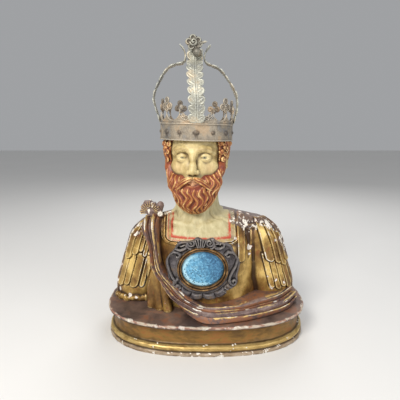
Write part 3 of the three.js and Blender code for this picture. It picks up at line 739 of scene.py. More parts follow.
def paint_face(piece, x, y, z):
    """Where the irises, pupils, brows, lips and cheeks are painted."""
    side = np.abs(x)
    front = y < -50
    iris = np.hypot(side - EYE[0] + 0.3, z - EYE[2] + 0.2)
    from_eye = np.linalg.norm(np.stack([side - EYE[0], y - EYE[1], z - EYE[2]]), axis=0)
    ball_skin = ease(0.5, 0.1, np.abs(from_eye - EYE_RADIUS))
    mark(piece, "iris", front * ease(4.9, 4.1, iris) * ball_skin)
    mark(piece, "pupil", front * ease(2.3, 1.6, iris) * ball_skin)
    arch = 14.5 + 2.5 * np.sin((side - 8) / 34 * math.pi) - 0.004 * (side - 25) ** 2
    brow = ease(3.2, 0.8, np.abs(z - arch)) * ease(5, 12, side) * ease(46, 38, side)
    mark(piece, "brow", front * brow)
    lips = ease(17, 13, side) * ease(8.5, 6.5, np.abs(z + 51.6) + 0.012 * side ** 2)
    mark(piece, "lips", (y < -66) * lips)
    cheek = np.exp(-(((side - 34) / 14) ** 2 + ((z + 24) / 12) ** 2))
    mark(piece, "cheek", front * cheek)


def painted_head():
    paint = Paint("painted_head")
    edge, hollow = paint.marked("edge"), paint.marked("hollow")
    patches, tint = paint.noise(26, 4, 0.6), paint.noise(15, 3, 0.6)
    streaks = paint.noise(7, 4, 0.65, 0.6, paint.stretched(1, 1, 0.45))
    flesh = paint.ramp(patches * 0.6 + streaks * 0.4, [
        (0.3, (0.32, 0.22, 0.08)), (0.45, (0.51, 0.39, 0.165)),
        (0.6, (0.72, 0.58, 0.28)), (0.75, (0.85, 0.72, 0.41))])
    # Dirt and painted shade: the flesh is darkened in its hollows and broad recesses
    dirt_and_shade = (hollow * 0.8 + paint.marked("deep") * 0.35).broken(streaks, 0.7).between(0.0, 0.9)
    flesh = paint.coats(
        flesh,
        ((0.70, 0.42, 0.24), paint.marked("cheek") * 0.25),
        ((0.12, 0.07, 0.022), dirt_and_shade * 0.85),
        ((0.86, 0.78, 0.54), edge.between(0.1, 0.45) * 0.4),
        ((0.26, 0.15, 0.05), paint.marked("brow") * (0.25 + 0.45 * streaks)),
        ((0.20, 0.20, 0.14), paint.marked("iris") * 0.8),
        ((0.03, 0.022, 0.012), paint.marked("pupil") * 0.9),
        ((0.62, 0.24, 0.14), paint.marked("lips") * 0.6))
    ridge = edge.broken(streaks, 0.25).between(0.03, 0.18)
    crest = edge.broken(tint, 0.7).broken(streaks, 0.3).between(0.15, 0.3)
    hair = paint.coats(
        (0.19, 0.034, 0.016),
        ((0.32, 0.085, 0.028), tint.between(0.35, 0.65)),
        ((0.50, 0.215, 0.06), ridge * 0.85),
        ((0.92, 0.64, 0.28), crest * 0.8),
        # Painted shade: near black in the valleys between the strands
        ((0.03, 0.008, 0.004), hollow.broken(streaks, 0.3).between(0.0, 0.75) * 0.92))
    is_hair = paint.marked("hair").broken(streaks, 0.5).between(0.35, 0.65)
    return paint.finish(
        base_color=paint.blend(flesh, hair, is_hair), metallic=is_hair * ridge * 0.35,
        roughness=0.36 + 0.2 * patches, normal=paint.bump(paint.noise(2.6, 3, 0.6), 0.35, 0.6))


# The torso, in a frame of its own: x and y as in the whole, z up from the plinth's top
TORSO_LOW, TORSO_HIGH = (-222, -104, -3), (219, 132, 284)
TORSO_STEP, TORSO_FAR = 1.5, 16
BODY_REACH = 160
BODY_X = -2
BACK_Y = 12.0
COLLAR_X = -20
# An upper arm: the foot and the top of its middle line, how deep it is to its width, and its reach
ARM_FOOT = (152.0, 10.0, 32.0)
ARM_TOP = (126.0, 10.0, 131.0)
ARM_DEPTH = 0.85
ARM_ROUND = 55.0
# The neck opening, its painted border, and how many times narrower that is along the foot
OPENING_LEFT, OPENING_RIGHT, OPENING_FOOT = -76.0, 52.0, 160.0
BORDER = 12.0
SILL_SHARE = 1.6
CLOAK_EDGE = -27.0
CLOAK_FOLDS = 19


def on_plinth(points):
    return np.asarray(points) + np.array([0, 0, PLINTH_TOP])


def squeezed(form, middle, share):
    """The form narrowed front to back about a plane."""
    def distance(x, y, z):
        return form.distance(x, middle + (y - middle) / share, z)

    return Form(form.low, form.high, distance)


def round_arm(side, x, y, z):
    """The angle round an arm: 0 in front, more towards its outer side."""
    t = (z - ARM_FOOT[2]) / (ARM_TOP[2] - ARM_FOOT[2])
    axis = ARM_FOOT[0] + (ARM_TOP[0] - ARM_FOOT[0]) * t
    return np.arctan2(side * (x - BODY_X) - axis, ARM_FOOT[1] - y)


def opening_edge(x, z):
    """Distance from the edge of the neck opening seen from the front, negative inside it."""
    across = np.maximum(OPENING_LEFT - x, x - OPENING_RIGHT)
    down = (OPENING_FOOT - z) * np.where(z < OPENING_FOOT, SILL_SHARE, 1)
    outside = np.hypot(np.maximum(across, 0), np.maximum(down, 0))
    return outside + np.minimum(np.maximum(across, down), 0)


def tongue(across, z, half, top, foot):
    """The outline of a hanging strap with a round end."""
    low = z - foot - half
    sides = np.where(low > 0, np.abs(across) - half, np.hypot(across, np.minimum(low, 0)) - half)
    return np.maximum(sides, z - top)


def cloak_cover(x, y, z):
    """Distance inside the edge of the cloak, which hangs over the back and the outside of the arms."""
    wave = 3 * np.sin(z / 17 + 0.02 * x) + 1.5 * np.sin(z / 7.3)
    near_knot = 22 * ease(-112, -100, x) * ease(-60, -70, x)
    return y - (CLOAK_EDGE + wave + 0.1 * np.abs(x) - 12 * ease(150, 190, z) * ease(0, 30, x) + near_knot)


def carve_body(torso):
    near = 14
    for side in (-1, 1):
        foot = (side * ARM_FOOT[0] + BODY_X, *ARM_FOOT[1:])
        top = (side * ARM_TOP[0] + BODY_X, *ARM_TOP[1:])
        low = (foot[0] + side * 4, foot[1], foot[2] - 60)
        torso.add(squeezed(rod(foot, top, 56, 52), 10, ARM_DEPTH), 0.5, near)
        torso.add(squeezed(rod(low, foot, 54, 56), 10, ARM_DEPTH), 0.5, near)
    for side in (-1, 1):
        torso.add(rod((side * 46 + BODY_X, 12, 174), (side * 108 + BODY_X, 12, 153), 35, 42), 16, near)
    chest = torso.blank()
    chest.add(ball((4, -14, 76), (100, 69, 110)), 1, near)
    chest.add(ball((0, 14, 10), (128, 97, 150)), 8, near)
    chest.add(ball((-6, 8, 105), (126, 88, 107)), 14, near)
    torso.field = join(torso.field, chest.field, 6)
    torso.add(ball((-2, 44, 95), (150, 66, 112)), 18, near)
    torso.add(rod((-19, 12, 170), (-21, 12, 262), 49, 45), 14, near)


def carve_neck(torso):
    for side in (-1, 1):
        torso.add(rod((-21 + side * 33, -8, 258), (-19 + side * 7, -40, 192), 9, 7), 10)
        torso.add(rod((-19 + side * 10, -49, 183), (-19 + side * 52, -36, 188), 4.5, 5), 12)
        torso.cut(ball((-19 + side * 22, -50, 205), (8, 10, 13)), 9)
    torso.cut(ball((-19, -55, 193), (6, 8, 7)), 7)


def lay(clay, body, low, high, outline, rise, soft=1.2):
    """Lays a sheet on the body inside an outline."""
    part, x, y, z = clay.window(low, high)
    sheet = cut(body[part] - rise, -outline(x, y, z), soft)
    clay.field[part] = np.minimum(clay.field[part], sheet)


def sink(clay, body, low, high, outline, depth, soft):
    """Sinks a groove or a bay into the body inside an outline."""
    part, x, y, z = clay.window(low, high)
    hollow = cut(-body[part] - depth, -outline(x, y, z), soft)
    clay.field[part] = cut(clay.field[part], hollow, soft)


# Rims round the neck opening: how far out, half width and rise
OPENING_RIMS = ((6, 6, 2.2), (1.0, 1.2, 2.8), (11.5, 1.4, 3.8), (18.5, 2.2, 2.8), (23.5, 1.1, 2.0))


def carve_breast(torso, body):
    """The rims of the neck opening, and the strap and the flutes beside it."""
    box = (-110, -104, 120), (84, 2, 208)
    for place, half, rise in OPENING_RIMS:
        lay(torso, body, *box, lambda x, y, z: np.abs(opening_edge(x, z) - place) - half + 0 * y, rise, 0.8)

    def strap(x, y, z):
        return tongue(x - 78.5, z, 8.5, 202, 106) + 0 * y

    box = (66, -104, 100), (92, 0, 206)
    lay(torso, body, *box, strap, 3.6)
    lay(torso, body, *box, lambda x, y, z: np.abs(strap(x, y, z) + 1.2) - 1.0, 4.6, 0.8)
    for middle, top, foot in ((96, 196, 108), (107, 190, 96)):
        def flute(x, y, z):
            return tongue(x - middle, z, 3.6, top, foot) + 0 * y

        sink(torso, body, (88, -104, 90), (116, 0, 200), flute, 1.6, 1.5)


# Straps round an arm: its side, their top and rise, then each one's angle, half width and foot
STRAPS = [
    (1, 196, 6.0, ((17, 12, 97), (38, 8, 92), (53, 7.5, 85), (69, 8, 92))),
    (1, 116, 3.0, ((4.5, 7.5, 34), (21, 7, 30), (37, 7, 35), (54, 8, 29))),
    (-1, 192, 6.0, ((7, 5, 109), (20, 5.5, 120), (35, 8, 112), (54, 9, 100))),
    (-1, 116, 3.0, ((-5, 6, 36), (17.5, 11, 34), (38, 8, 38), (57, 8.5, 33))),
]


def carve_straps(torso, body):
    for side, top, rise, row in reversed(STRAPS):
        for angle, half, foot in row:
            low = (min(side * 60, side * 216), -70, foot - 8)
            high = (max(side * 60, side * 216), 20, top + 8)

            def strap(x, y, z):
                across = (round_arm(side, x, y, z) - math.radians(angle)) * ARM_ROUND
                return tongue(across, z, half, top, foot)

            lay(torso, body, low, high, strap, rise, 1.8)
            lay(torso, body, low, high, lambda x, y, z: np.abs(strap(x, y, z) + 1.8) - 1.3, rise + 1.6, 1.0)
            sink(torso, body, low, high, lambda x, y, z: np.abs(strap(x, y, z) - 1.6) - 1.0, 1.4, 1.0)
            if half > 7:
                lay(torso, body, low, high, lambda x, y, z: np.abs(strap(x, y, z) + 5) - 0.6, rise + 0.5, 0.8)


def carve_tunic(torso):
    folds = [((-126, -50, 118), (-123, -64, 2), 7, 9), ((-112, -60, 96), (-103, -74, 2), 7, 11),
             ((-98, -70, 72), (-84, -84, 2), 5, 10), ((-119, -58, 108), (-113, -70, 2), 3, 6)]
    for a, b, ra, rb in folds:
        torso.add(rod(a, b, ra, rb), 2.5)
    torso.cut(rod((-131, -52, 106), (-139, -58, 2), 3.0, 4.5), 2)
    torso.cut(rod((113, -60, 150), (117, -64, 2), 2.0, 3.4), 2)
    torso.cut(rod((127, -62, 100), (124, -66, 24), 1.6, 2.2), 2)


def carve_cloak(torso, body):
    x, y, z = torso.whole()
    around = np.arctan2(x, y - BACK_Y)
    warp = 0.6 * np.sin(z / 43 + 1.3 * around) + 0.35 * np.sin(z / 19 + 4 * around)
    folds = (0.5 + 0.5 * np.cos(CLOAK_FOLDS * around + warp)) ** 1.7
    creases = (0.5 + 0.5 * np.cos((2 * CLOAK_FOLDS + 5) * around + 1.7 * warp + z / 60)) ** 2
    deep = ease(0, 60, y) * (1 - ease(120, 205, z))
    cover = cloak_cover(x, y, z)
    rise = 3.0 + (7.5 * folds + 2.2 * creases) * deep + 1.4 * np.exp(-((cover - 2.5) / 2.0) ** 2)
    torso.field = np.minimum(torso.field, cut(body - rise, cover, 1.5))
    collar = np.abs(np.hypot(x - COLLAR_X, (y - BACK_Y) * 1.05) - 58 - 0.25 * (z - 190)) - 5
    collar = np.maximum(np.maximum(collar, np.abs(z - 188) - 9), -6 - y)
    torso.field = join(torso.field, collar, 6)


def carve_hem(torso):
    """The broken lower edge of the dress, where it stands on the base."""
    draw = np.random.default_rng(SEEDS["hem"])
    for side in (-1, 1):
        for angle in np.arange(-26, 66, 7.5):
            turn = math.radians(angle)
            reach = ARM_ROUND + draw.uniform(0.5, 4)
            x = side * (ARM_FOOT[0] + 3 + reach * math.sin(turn)) + BODY_X
            y = ARM_FOOT[1] - ARM_DEPTH * reach * math.cos(turn)
            z = draw.uniform(3, 11)
            radii = draw.uniform(4, 8), draw.uniform(4, 6), draw.uniform(4, 9)
            torso.add(ball((x, y, z), radii), 2)


# Where the gesso shows: the middle and the reach of each loss
LOSSES = [
    (-159, -28, 160, 13), (-152, -30, 172, 8), (-181, -10, 139, 10), (-190, -8, 112, 7), (-201, -6, 80, 9),
    (-209, -5, 40, 10), (-205, -14, 22, 9), (-136, -24, 197, 8), (-128, -46, 186, 6), (-160, -48, 12, 6),
    (-176, -38, 14, 7), (-86, -84, 10, 6), (-90, -80, 20, 4), (96, -54, 131, 14), (99, -52, 118, 9),
    (136, -40, 167, 5), (101, -28, 194, 7), (78, -30, 203, 7), (63, -58, 157, 6), (90, -34, 199, 7),
    (145, -20, 181, 9), (170, -20, 147, 9), (157, -28, 143, 6), (161, -38, 52, 6), (179, -30, 44, 7),
    (128, -60, 30, 9), (150, -34, 34, 8), (140, -44, 62, 4), (196, 0, 90, 9), (203, 6, 40, 9),
    (112, -20, 190, 6), (124, -8, 186, 8), (136, 2, 182, 6), (152, -4, 174, 7), (176, -2, 152, 8),
    (185, -6, 132, 7),
    (60, 0, 204, 7), (78, 6, 201, 8), (96, 4, 197, 7), (40, 10, 207, 6), (-60, 4, 205, 7), (-84, 6, 201, 6),
    (160, 40, 176, 10), (-150, 60, 160, 12), (-60, 105, 130, 10), (70, 104, 60, 12), (0, 112, 20, 14),
]
# A loss on the front reaches in further, so that it shows on folds that stand proud
FRONT_LOSS_Y, FRONT_LOSS_DEPTH = -36, 0.3
# Painted highlights on the gold: the middle, across and up, and the reach each way
GLEAMS = [(88, 84, 15, 30), (124, 158, 10, 24), (-154, 130, 12, 16), (-148, 44, 10, 14), (-170, 92, 14, 22),
          (136, 66, 16, 26), (70, 40, 18, 14), (-60, 150, 14, 18)]


def gesso_loss(clay):
    """How surely the gilding has come away, from 0 to 1, with ragged edges."""
    shape = clay.field.shape
    ragged = scatter(shape, 3.2, SEEDS["loss"]) + 0.6 * scatter(shape, 7, SEEDS["loss_edge"])
    loss = np.zeros(shape, np.float32)
    for cx, cy, cz, reach in LOSSES:
        far = 2 * reach
        depth = FRONT_LOSS_DEPTH if cy < FRONT_LOSS_Y else 1
        deep = far / depth
        part, x, y, z = clay.window((cx - far, cy - deep, cz - far), (cx + far, cy + deep, cz + far))
        away = np.sqrt((x - cx) ** 2 + (depth * (y - cy)) ** 2 + (z - cz) ** 2) / reach
        loss[part] = np.maximum(loss[part], ease(0.75, 0.35, away + 0.32 * ragged[part]))
    return loss


def seat_bend(x):
    return np.maximum(0, np.abs(x - WINDOW_X) - SEAT_FLAT) ** 2 / (2 * SEAT_ROUND)


# The frame's oval, and the lobes on it: the angle from straight up in degrees, rise and spread
FRAME_X, FRAME_Z, FRAME_POWER = 75, 64, 2.4
FRAME_LOBES = [(-17, 6, 7), (9, 6, 7), (-48, 7, 9), (40, 7, 9), (-82, 6, 14), (80, 6, 14), (115, 9, 8),
               (-115, 7, 10)]


def frame_outline(angle):
    """The reach of the window's frame from the middle of the window; angle 0 is straight down."""
    across, up = np.abs(np.sin(angle)) / FRAME_X, np.abs(np.cos(angle)) / FRAME_Z
    oval = across ** FRAME_POWER + up ** FRAME_POWER
    oval = oval ** (-1 / FRAME_POWER)
    for place, rise, spread in FRAME_LOBES:
        turn = angle - math.pi - math.radians(place)
        away = np.degrees(np.arctan2(np.sin(turn), np.cos(turn)))
        oval = oval + rise * np.exp(-((away / spread) ** 2))
    fringe = ease(48, 40, np.abs(np.degrees(np.arctan2(np.sin(angle), np.cos(angle)))))
    return oval + fringe * (4 + 3.5 * np.abs(np.sin(4.5 * angle)))


def cut_seat(torso):
    """The seat of the window's frame, let into the chest."""
    x, y, z = torso.whole()
    across, up = x - WINDOW_X, z + PLINTH_TOP - WINDOW_Z
    reach = np.hypot(across, up) - frame_outline(np.arctan2(across, -up)) - CLEARANCE
    seat = np.maximum(reach, y - SEAT_Y - seat_bend(x))
    torso.field = np.maximum(torso.field, -seat)
    torso.field = np.maximum(torso.field, CLEARANCE - z + 0 * x + 0 * y)


def make_torso():
    torso = Clay(TORSO_LOW, TORSO_HIGH, TORSO_STEP, TORSO_FAR)
    carve_body(torso)
    carve_neck(torso)
    body = torso.field.copy()
    carve_tunic(torso)
    carve_breast(torso, body)
    carve_straps(torso, body)
    carve_cloak(torso, body)
    carve_hem(torso)
    loss = gesso_loss(torso)
    torso.field += 0.45 * scatter(torso.field.shape, 10, SEEDS["torso"]) + 0.7 * loss
    cut_seat(torso)
    piece, carved = torso.mesh("carved_torso", on_plinth)
    wear_and_shade_marks(piece, torso, carved)
    mark(piece, "loss", torso.read(carved, loss))
    x, y, z = carved.T
    edge = opening_edge(x, z)
    front = ease(6, -4, y)
    neck = ease(188, 192, z) * ease(62, 58, np.hypot(x - COLLAR_X, y - BACK_Y))
    skin = np.maximum(front * ease(0.5, -0.5, edge), neck)
    mark(piece, "flesh", skin)
    outer_line = ease(1.2, 0.7, np.abs(edge - BORDER + 3)) * (x < 0)
    line = np.maximum(ease(2.6, 2.0, np.abs(edge)), 0.8 * outer_line)
    mark(piece, "red", front * line * ease(208, 200, z))
    mark(piece, "border", front * ease(-0.3, 0.6, edge) * ease(BORDER + 0.8, BORDER - 0.3, edge))
    mark(piece, "warm", front * ease(BORDER, BORDER + 1.5, edge) * ease(BORDER + 16, BORDER + 12, edge))
    cover = cloak_cover(x, y, z)
    mark(piece, "cloak", ease(-0.8, 0.8, cover) * (1 - skin))
    shoulder = ease(26, 4, cover) * ease(-9, -2, cover) * ease(70, 130, z)
    mark(piece, "flake", (shoulder + 0.3 * ease(130, 170, z) * ease(60, 20, y)) * (1 - skin))
    # Painted highlights: spots where the gold is painted brighter
    gleam = np.zeros_like(x)
    for cx, cz, wide, tall in GLEAMS:
        gleam = np.maximum(gleam, np.exp(-((x - cx) / wide) ** 2 - ((z - cz) / tall) ** 2))
    mark(piece, "gleam", front * gleam)
    return piece


def leaf_gold(paint, edge, hollow, patches, streaks):
    """Old leaf: bright in places and rubbed bright on high ones, red in streaks, olive and dark brown in the
    hollows, where dirt and painted shade lie.
    """
    gold = paint.ramp(patches, [
        (0.32, (0.095, 0.043, 0.014)), (0.43, (0.21, 0.11, 0.028)),
        (0.54, (0.40, 0.245, 0.064)), (0.66, (0.78, 0.55, 0.19))])
    # Dirt and painted shade: darker in hollows and broad recesses
    dirt_and_shade = (hollow + paint.marked("deep") * 0.25).broken(streaks, 0.9)
    return paint.coats(
        gold,
        ((0.24, 0.065, 0.018), streaks.between(0.53, 0.66) * 0.7),
        ((0.035, 0.015, 0.007), dirt_and_shade.between(-0.08, 0.85) * 0.9),
        ((0.86, 0.66, 0.30), edge.broken(streaks, 0.9).between(0.2, 0.55) * 0.7))


def dark_cloth(paint, edge, hollow, patches, streaks):
    cloth = paint.ramp(patches * 0.6 + streaks * 0.4, [
        (0.34, (0.026, 0.015, 0.012)), (0.45, (0.08, 0.048, 0.038)),
        (0.55, (0.17, 0.115, 0.088)), (0.66, (0.30, 0.23, 0.175))])
    return paint.coats(
        cloth,
        ((0.15, 0.045, 0.018), streaks.between(0.52, 0.66) * 0.5),
        ((0.34, 0.21, 0.075), edge.broken(streaks, 0.7).between(0.12, 0.5) * 0.75),
        # Painted shade with dirt: near black in the valleys of the folds
        ((0.008, 0.005, 0.004), hollow.broken(streaks, 0.3).between(0.0, 1.2) * 0.88))


def gesso_white(paint, fine):
    return paint.ramp(fine, [(0.3, (0.55, 0.47, 0.38)), (0.5, (0.80, 0.75, 0.66)), (0.7, (0.93, 0.90, 0.84))])


def painted_border(paint, colour, patches, streaks):
    """The cream border of the neck opening, and the bare red ground round it."""
    cream = paint.ramp(streaks, [
        (0.3, (0.20, 0.15, 0.09)), (0.45, (0.45, 0.38, 0.24)),
        (0.6, (0.66, 0.57, 0.38)), (0.75, (0.80, 0.74, 0.58))])
    return paint.coats(
        colour,
        ((0.42, 0.17, 0.035), paint.marked("warm") * streaks.between(0.5, 0.62) * 0.6),
        (cream, paint.marked("border") * patches.between(0.75, 0.35) * 0.85))


def gilded_dress():
    paint = Paint("gilded_dress")
    edge, hollow, gleam = paint.marked("edge"), paint.marked("hollow"), paint.marked("gleam")
    patches, places = paint.noise(42, 5, 0.62, 0.3), paint.noise(26, 3, 0.6)
    streaks = paint.noise(9, 4, 0.65, 0.4, paint.stretched(1, 1, 0.4))
    fine = paint.noise(2.2, 3, 0.6)
    # The gold's tone, with the painted highlights lightening it
    tone_and_highlight = patches * 0.75 + streaks * 0.25 + gleam * 0.19 - 0.02
    gold = leaf_gold(paint, edge, hollow, tone_and_highlight, streaks + gleam * -0.08)
    cloak = paint.marked("cloak").broken(streaks, 0.4).between(0.4, 0.6)
    colour = paint.blend(gold, dark_cloth(paint, edge, hollow, patches, streaks), cloak)
    colour = painted_border(paint, colour, patches, streaks)
    flesh = paint.ramp(patches * 0.5 + streaks * 0.5, [
        (0.3, (0.33, 0.28, 0.13)), (0.45, (0.50, 0.43, 0.23)),
        (0.6, (0.63, 0.56, 0.33)), (0.78, (0.76, 0.70, 0.48))])
    # Dirt and painted shade in the hollows of the neck
    flesh = paint.blend(flesh, (0.16, 0.11, 0.05), hollow.between(-0.1, 1.6) * 0.7)
    skin = paint.marked("flesh").between(0.4, 0.6)
    red = paint.marked("red") * (streaks * 0.7 + 0.3 * fine).between(0.66, 0.5)
    rim = paint.marked("loss").broken(fine, 0.5)
    chips = edge.broken(fine, 1.2) + 2.6 * (places - 0.56)
    flakes = (paint.noise(8, 4, 0.7) + paint.marked("flake") * 0.13).broken(places, 0.5).between(0.69, 0.73)
    bare = rim.between(0.38, 0.55).most(chips.between(0.62, 0.72) * (1 - skin) * 0.9)
    bare = bare.most(flakes * (1 - skin) * paint.marked("flake"))
    colour = paint.coats(
        colour,
        (flesh, skin),
        ((0.52, 0.055, 0.03), red * 0.9),
        ((0.24, 0.07, 0.03), rim.between(0.12, 0.3) * 0.8),
        (gesso_white(paint, fine), bare))
    shine = (1 - bare) * (1 - skin) * (1 - cloak * 0.75) * (1 - paint.marked("border") * 0.6)
    return paint.finish(
        base_color=colour, metallic=shine * (0.42 - 0.2 * streaks),
        roughness=(0.60 - shine * 0.2).broken(fine, 0.15), normal=paint.bump(fine + 0.6 * streaks, 0.5, 0.7))


# The mantle: stops along its upper and its lower edge, from the shoulder to the far arm
MANTLE_UPPER = [
    (-104, -12, 194), (-104, -50, 182), (-101, -64, 140), (-91, -75, 94), (-60, -87, 57), (-29, -97, 28),
    (-2, -104, 16), (30, -104, 16), (70, -100, 20), (108, -84, 25), (150, -60, 24), (188, -14, 22)]
MANTLE_LOWER = [
    (-144, -8, 178), (-143, -40, 170), (-126, -55, 138), (-120, -62, 98), (-106, -76, 70), (-80, -96, 34),
    (-38, -120, 9), (-4, -144, 2), (66, -136, 2), (124, -114, 2), (176, -82, 2), (208, -38, 2)]
MANTLE_ROWS, MANTLE_COLUMNS = 440, 150
MANTLE_RISE = 7.0
MANTLE_MIDDLE_X = -10.0
SUNK_SHARE = 0.5
# Folds across the mantle: where each starts, as a share, and its rise; a crest stands near its upper side
FOLD_STARTS = (0.0, 0.17, 0.40, 0.53, 0.80, 1.0)
FOLD_RISES = (6.0, 9.5, 5.0, 10.0, 6.5)
CREST = 0.3
TURN_UNDER = 0.12
# Losses of the mantle: place along it, place across it and reach, as shares
MANTLE_LOSSES = [
    (0.40, 0.10, 0.022), (0.46, 0.30, 0.02), (0.53, 0.12, 0.03), (0.545, 0.38, 0.03), (0.555, 0.60, 0.03),
    (0.57, 0.80, 0.02), (0.66, 0.20, 0.016), (0.30, 0.93, 0.02), (0.76, 0.5, 0.012), (0.83, 0.85, 0.012),
    (0.88, 0.45, 0.012), (0.92, 0.7, 0.01)]


def blurred_grid(grid, passes):
    for _ in range(passes):
        for axis in (0, 1):
            wide = np.pad(grid, [(1, 1) if k == axis else (0, 0) for k in (0, 1)], mode="edge")
            count = wide.shape[axis]
            beside = np.take(wide, range(2, count), axis) + np.take(wide, range(count - 2), axis)
            grid = 0.5 * grid + 0.25 * beside
    return grid


def lapped_folds(t, w):
    """Folds that lap over each other: the height, and how near each spot is to a crest."""
    swing = 0.024 * np.sin(7 * t + 5 * w) + 0.012 * np.sin(19 * t + 9 * w)
    level = w + swing * np.sin(math.pi * w)
    height, crest = np.zeros_like(t), np.zeros_like(t)
    for k, (a, b, rise) in enumerate(zip(FOLD_STARTS, FOLD_STARTS[1:], FOLD_RISES)):
        share = (level - a) / (b - a)
        inside = (share >= 0) & (share <= 1)
        share = np.clip(share, 0, 1)
        form = np.where(share < CREST, np.sin(0.5 * math.pi * share / CREST),
                        np.cos(0.5 * math.pi * (share - CREST) / (1 - CREST)) ** 0.8)
        swell = 1 + 0.35 * np.sin(6 * t + 2.3 * k)
        height = np.where(inside, rise * swell * form, height)
        crest = np.where(inside, np.exp(-((share - CREST) / 0.22) ** 2), crest)
    return height, crest


def front_of_body(points):
    """How far forward the body reaches behind points, as y."""
    body = Clay(TORSO_LOW, TORSO_HIGH, 2 * TORSO_STEP, TORSO_FAR)
    carve_body(body)
    starts = points.copy()
    starts[:, 1] = BACK_Y + 40
    return body.skin(starts, np.tile([0, -1, 0], (len(points), 1)), BODY_REACH)[:, 1]


def mantle_loss(t, w, ragged):
    loss = np.zeros_like(t)
    for place, level, reach in MANTLE_LOSSES:
        away = np.hypot((t - place) / reach, (w - level) / (reach * 2.6))
        loss = np.maximum(loss, ease(1.0, 0.6, away + 0.35 * ragged))
    return loss


def make_mantle():
    """A closed shell: the folded front between two lines, and a back that is sunk in the body."""
    shape = MANTLE_ROWS, MANTLE_COLUMNS
    t = np.linspace(0, 1, shape[0])[:, None] * np.ones(shape[1])
    w = np.linspace(0, 1, shape[1])[None, :] * np.ones((shape[0], 1))
    a, b = smooth_line(MANTLE_UPPER, t), smooth_line(MANTLE_LOWER, t)
    out = np.cross(b - a, np.gradient(a, axis=0))
    out /= np.linalg.norm(out, axis=2, keepdims=True)
    height, crest = lapped_folds(t, w)
    small = (0.5 + 0.5 * np.cos(2 * math.pi * 11 * w + 9 * t)) * (0.5 + 0.5 * np.sin(13 * t + 6 * w))
    ragged = scatter((*shape, 1), 5, SEEDS["mantle_loss"])[:, :, 0]
    loss = mantle_loss(t, w, ragged)
    height = blurred_grid(height, 5) + 0.8 * small - 0.7 * loss
    height += 0.5 * scatter((*shape, 1), 9, SEEDS["mantle"])[:, :, 0]
    flat = a + (b - a) * w[..., None]
    front = flat + out * (MANTLE_RISE * np.sin(math.pi * w) + height)[..., None]
    for edge, level in ((a[:, 0], w), (b[:, 0], 1 - w)):
        gap = np.pad(front_of_body(edge) + 2 - edge[:, 1], 6, mode="edge")
        gap = np.convolve(gap, np.ones(13) / 13, "valid")
        held = np.clip(gap, 0, 30) * ease(8, 30, edge[:, 2])
        turned = 1 - np.sqrt(np.clip(1 - (1 - level / TURN_UNDER) ** 2, 0, 1))
        front[..., 1] += held[:, None] * turned * (level < TURN_UNDER)
    middle = np.stack([np.full(shape, MANTLE_MIDDLE_X), np.full(shape, BACK_Y), flat[..., 2]], axis=2)
    back = flat + (middle - flat) * SUNK_SHARE
    points = np.concatenate([front.reshape(-1, 3), back.reshape(-1, 3)])
    points[:, 2] = np.maximum(points[:, 2], CLEARANCE)
    piece = made_mesh("carved_mantle", on_plinth(points), shell_faces(*shape))
    if signed_volume(piece) < 0:
        piece.data.flip_normals()
    fine, broad = blurred_grid(height, 3), blurred_grid(height, 60)
    patchy = ease(-0.45, 0.5, scatter((*shape, 1), 30, SEEDS["mantle_wear"])[:, :, 0] + 0.5 * ragged)
    edge = 0.9 * crest * patchy + 0.1 * (fine - broad)
    # The hollow mark leads dirt and painted shade in the valleys of the folds
    for name, values in (("edge", edge), ("hollow", 0.8 * (broad - fine)),
                         ("loss", loss), ("stripe", ease(-0.2, 0.3, np.sin(13 * w + 3 * t)))):
        mark(piece, name, np.concatenate([values.ravel(), np.zeros(values.size)]))
    thin_out(piece, TRIANGLES["carved_mantle"])
    return piece


def shell_faces(rows, columns):
    """Faces of a closed shell: a front grid, a back grid behind it and the walls between."""
    i, j = np.meshgrid(np.arange(rows - 1), np.arange(columns - 1), indexing="ij")
    a = (i * columns + j).ravel()
    front = np.stack([a, a + 1, a + columns + 1, a + columns], axis=1)
    back = front[:, ::-1] + rows * columns
    edge = list(range(columns)) + [r * columns + columns - 1 for r in range(1, rows)]
    edge += [(rows - 1) * columns + c for c in range(columns - 2, -1, -1)]
    edge += [r * columns for r in range(rows - 2, 0, -1)]
    walls = [(p, p + rows * columns, q + rows * columns, q) for p, q in zip(edge, edge[1:] + edge[:1])]
    return front.tolist() + back.tolist() + [list(wall) for wall in walls]


def bronzed_mantle():
    paint = Paint("bronzed_mantle")
    edge, hollow = paint.marked("edge"), paint.marked("hollow")
    patches, streaks = paint.noise(36, 5, 0.62, 0.3), paint.noise(8, 4, 0.65, 0.5)
    fine, places = paint.noise(2.2, 3, 0.6), paint.noise(24, 3, 0.6)
    tone = patches * 0.5 + streaks * 0.5
    colour = paint.ramp(tone, [
        (0.34, (0.075, 0.045, 0.042)), (0.45, (0.15, 0.095, 0.085)),
        (0.56, (0.24, 0.165, 0.145)), (0.70, (0.36, 0.27, 0.23))])
    gold = edge.broken(streaks, 1.0).between(0.25, 0.65)
    chips = (edge.broken(fine, 1.2) + 2.4 * (places - 0.56)).between(0.85, 1.0)
    bare = paint.marked("loss").broken(fine, 0.5).between(0.4, 0.55).most(chips)
    colour = paint.coats(
        colour,
        ((0.30, 0.105, 0.028), paint.marked("stripe") * tone.between(0.42, 0.54) * 0.75),
        # Dirt and painted shade: near black in the valleys of the folds
        ((0.022, 0.011, 0.008), hollow.broken(streaks, 0.6).between(0.3, 2.6) * 0.92),
        ((0.78, 0.56, 0.22), gold * 0.85),
        (gesso_white(paint, fine), bare))
    return paint.finish(
        base_color=colour, metallic=gold * (1 - bare) * 0.5, roughness=0.5 + 0.2 * bare,
        normal=paint.bump(fine + 0.6 * streaks, 0.5, 0.7))


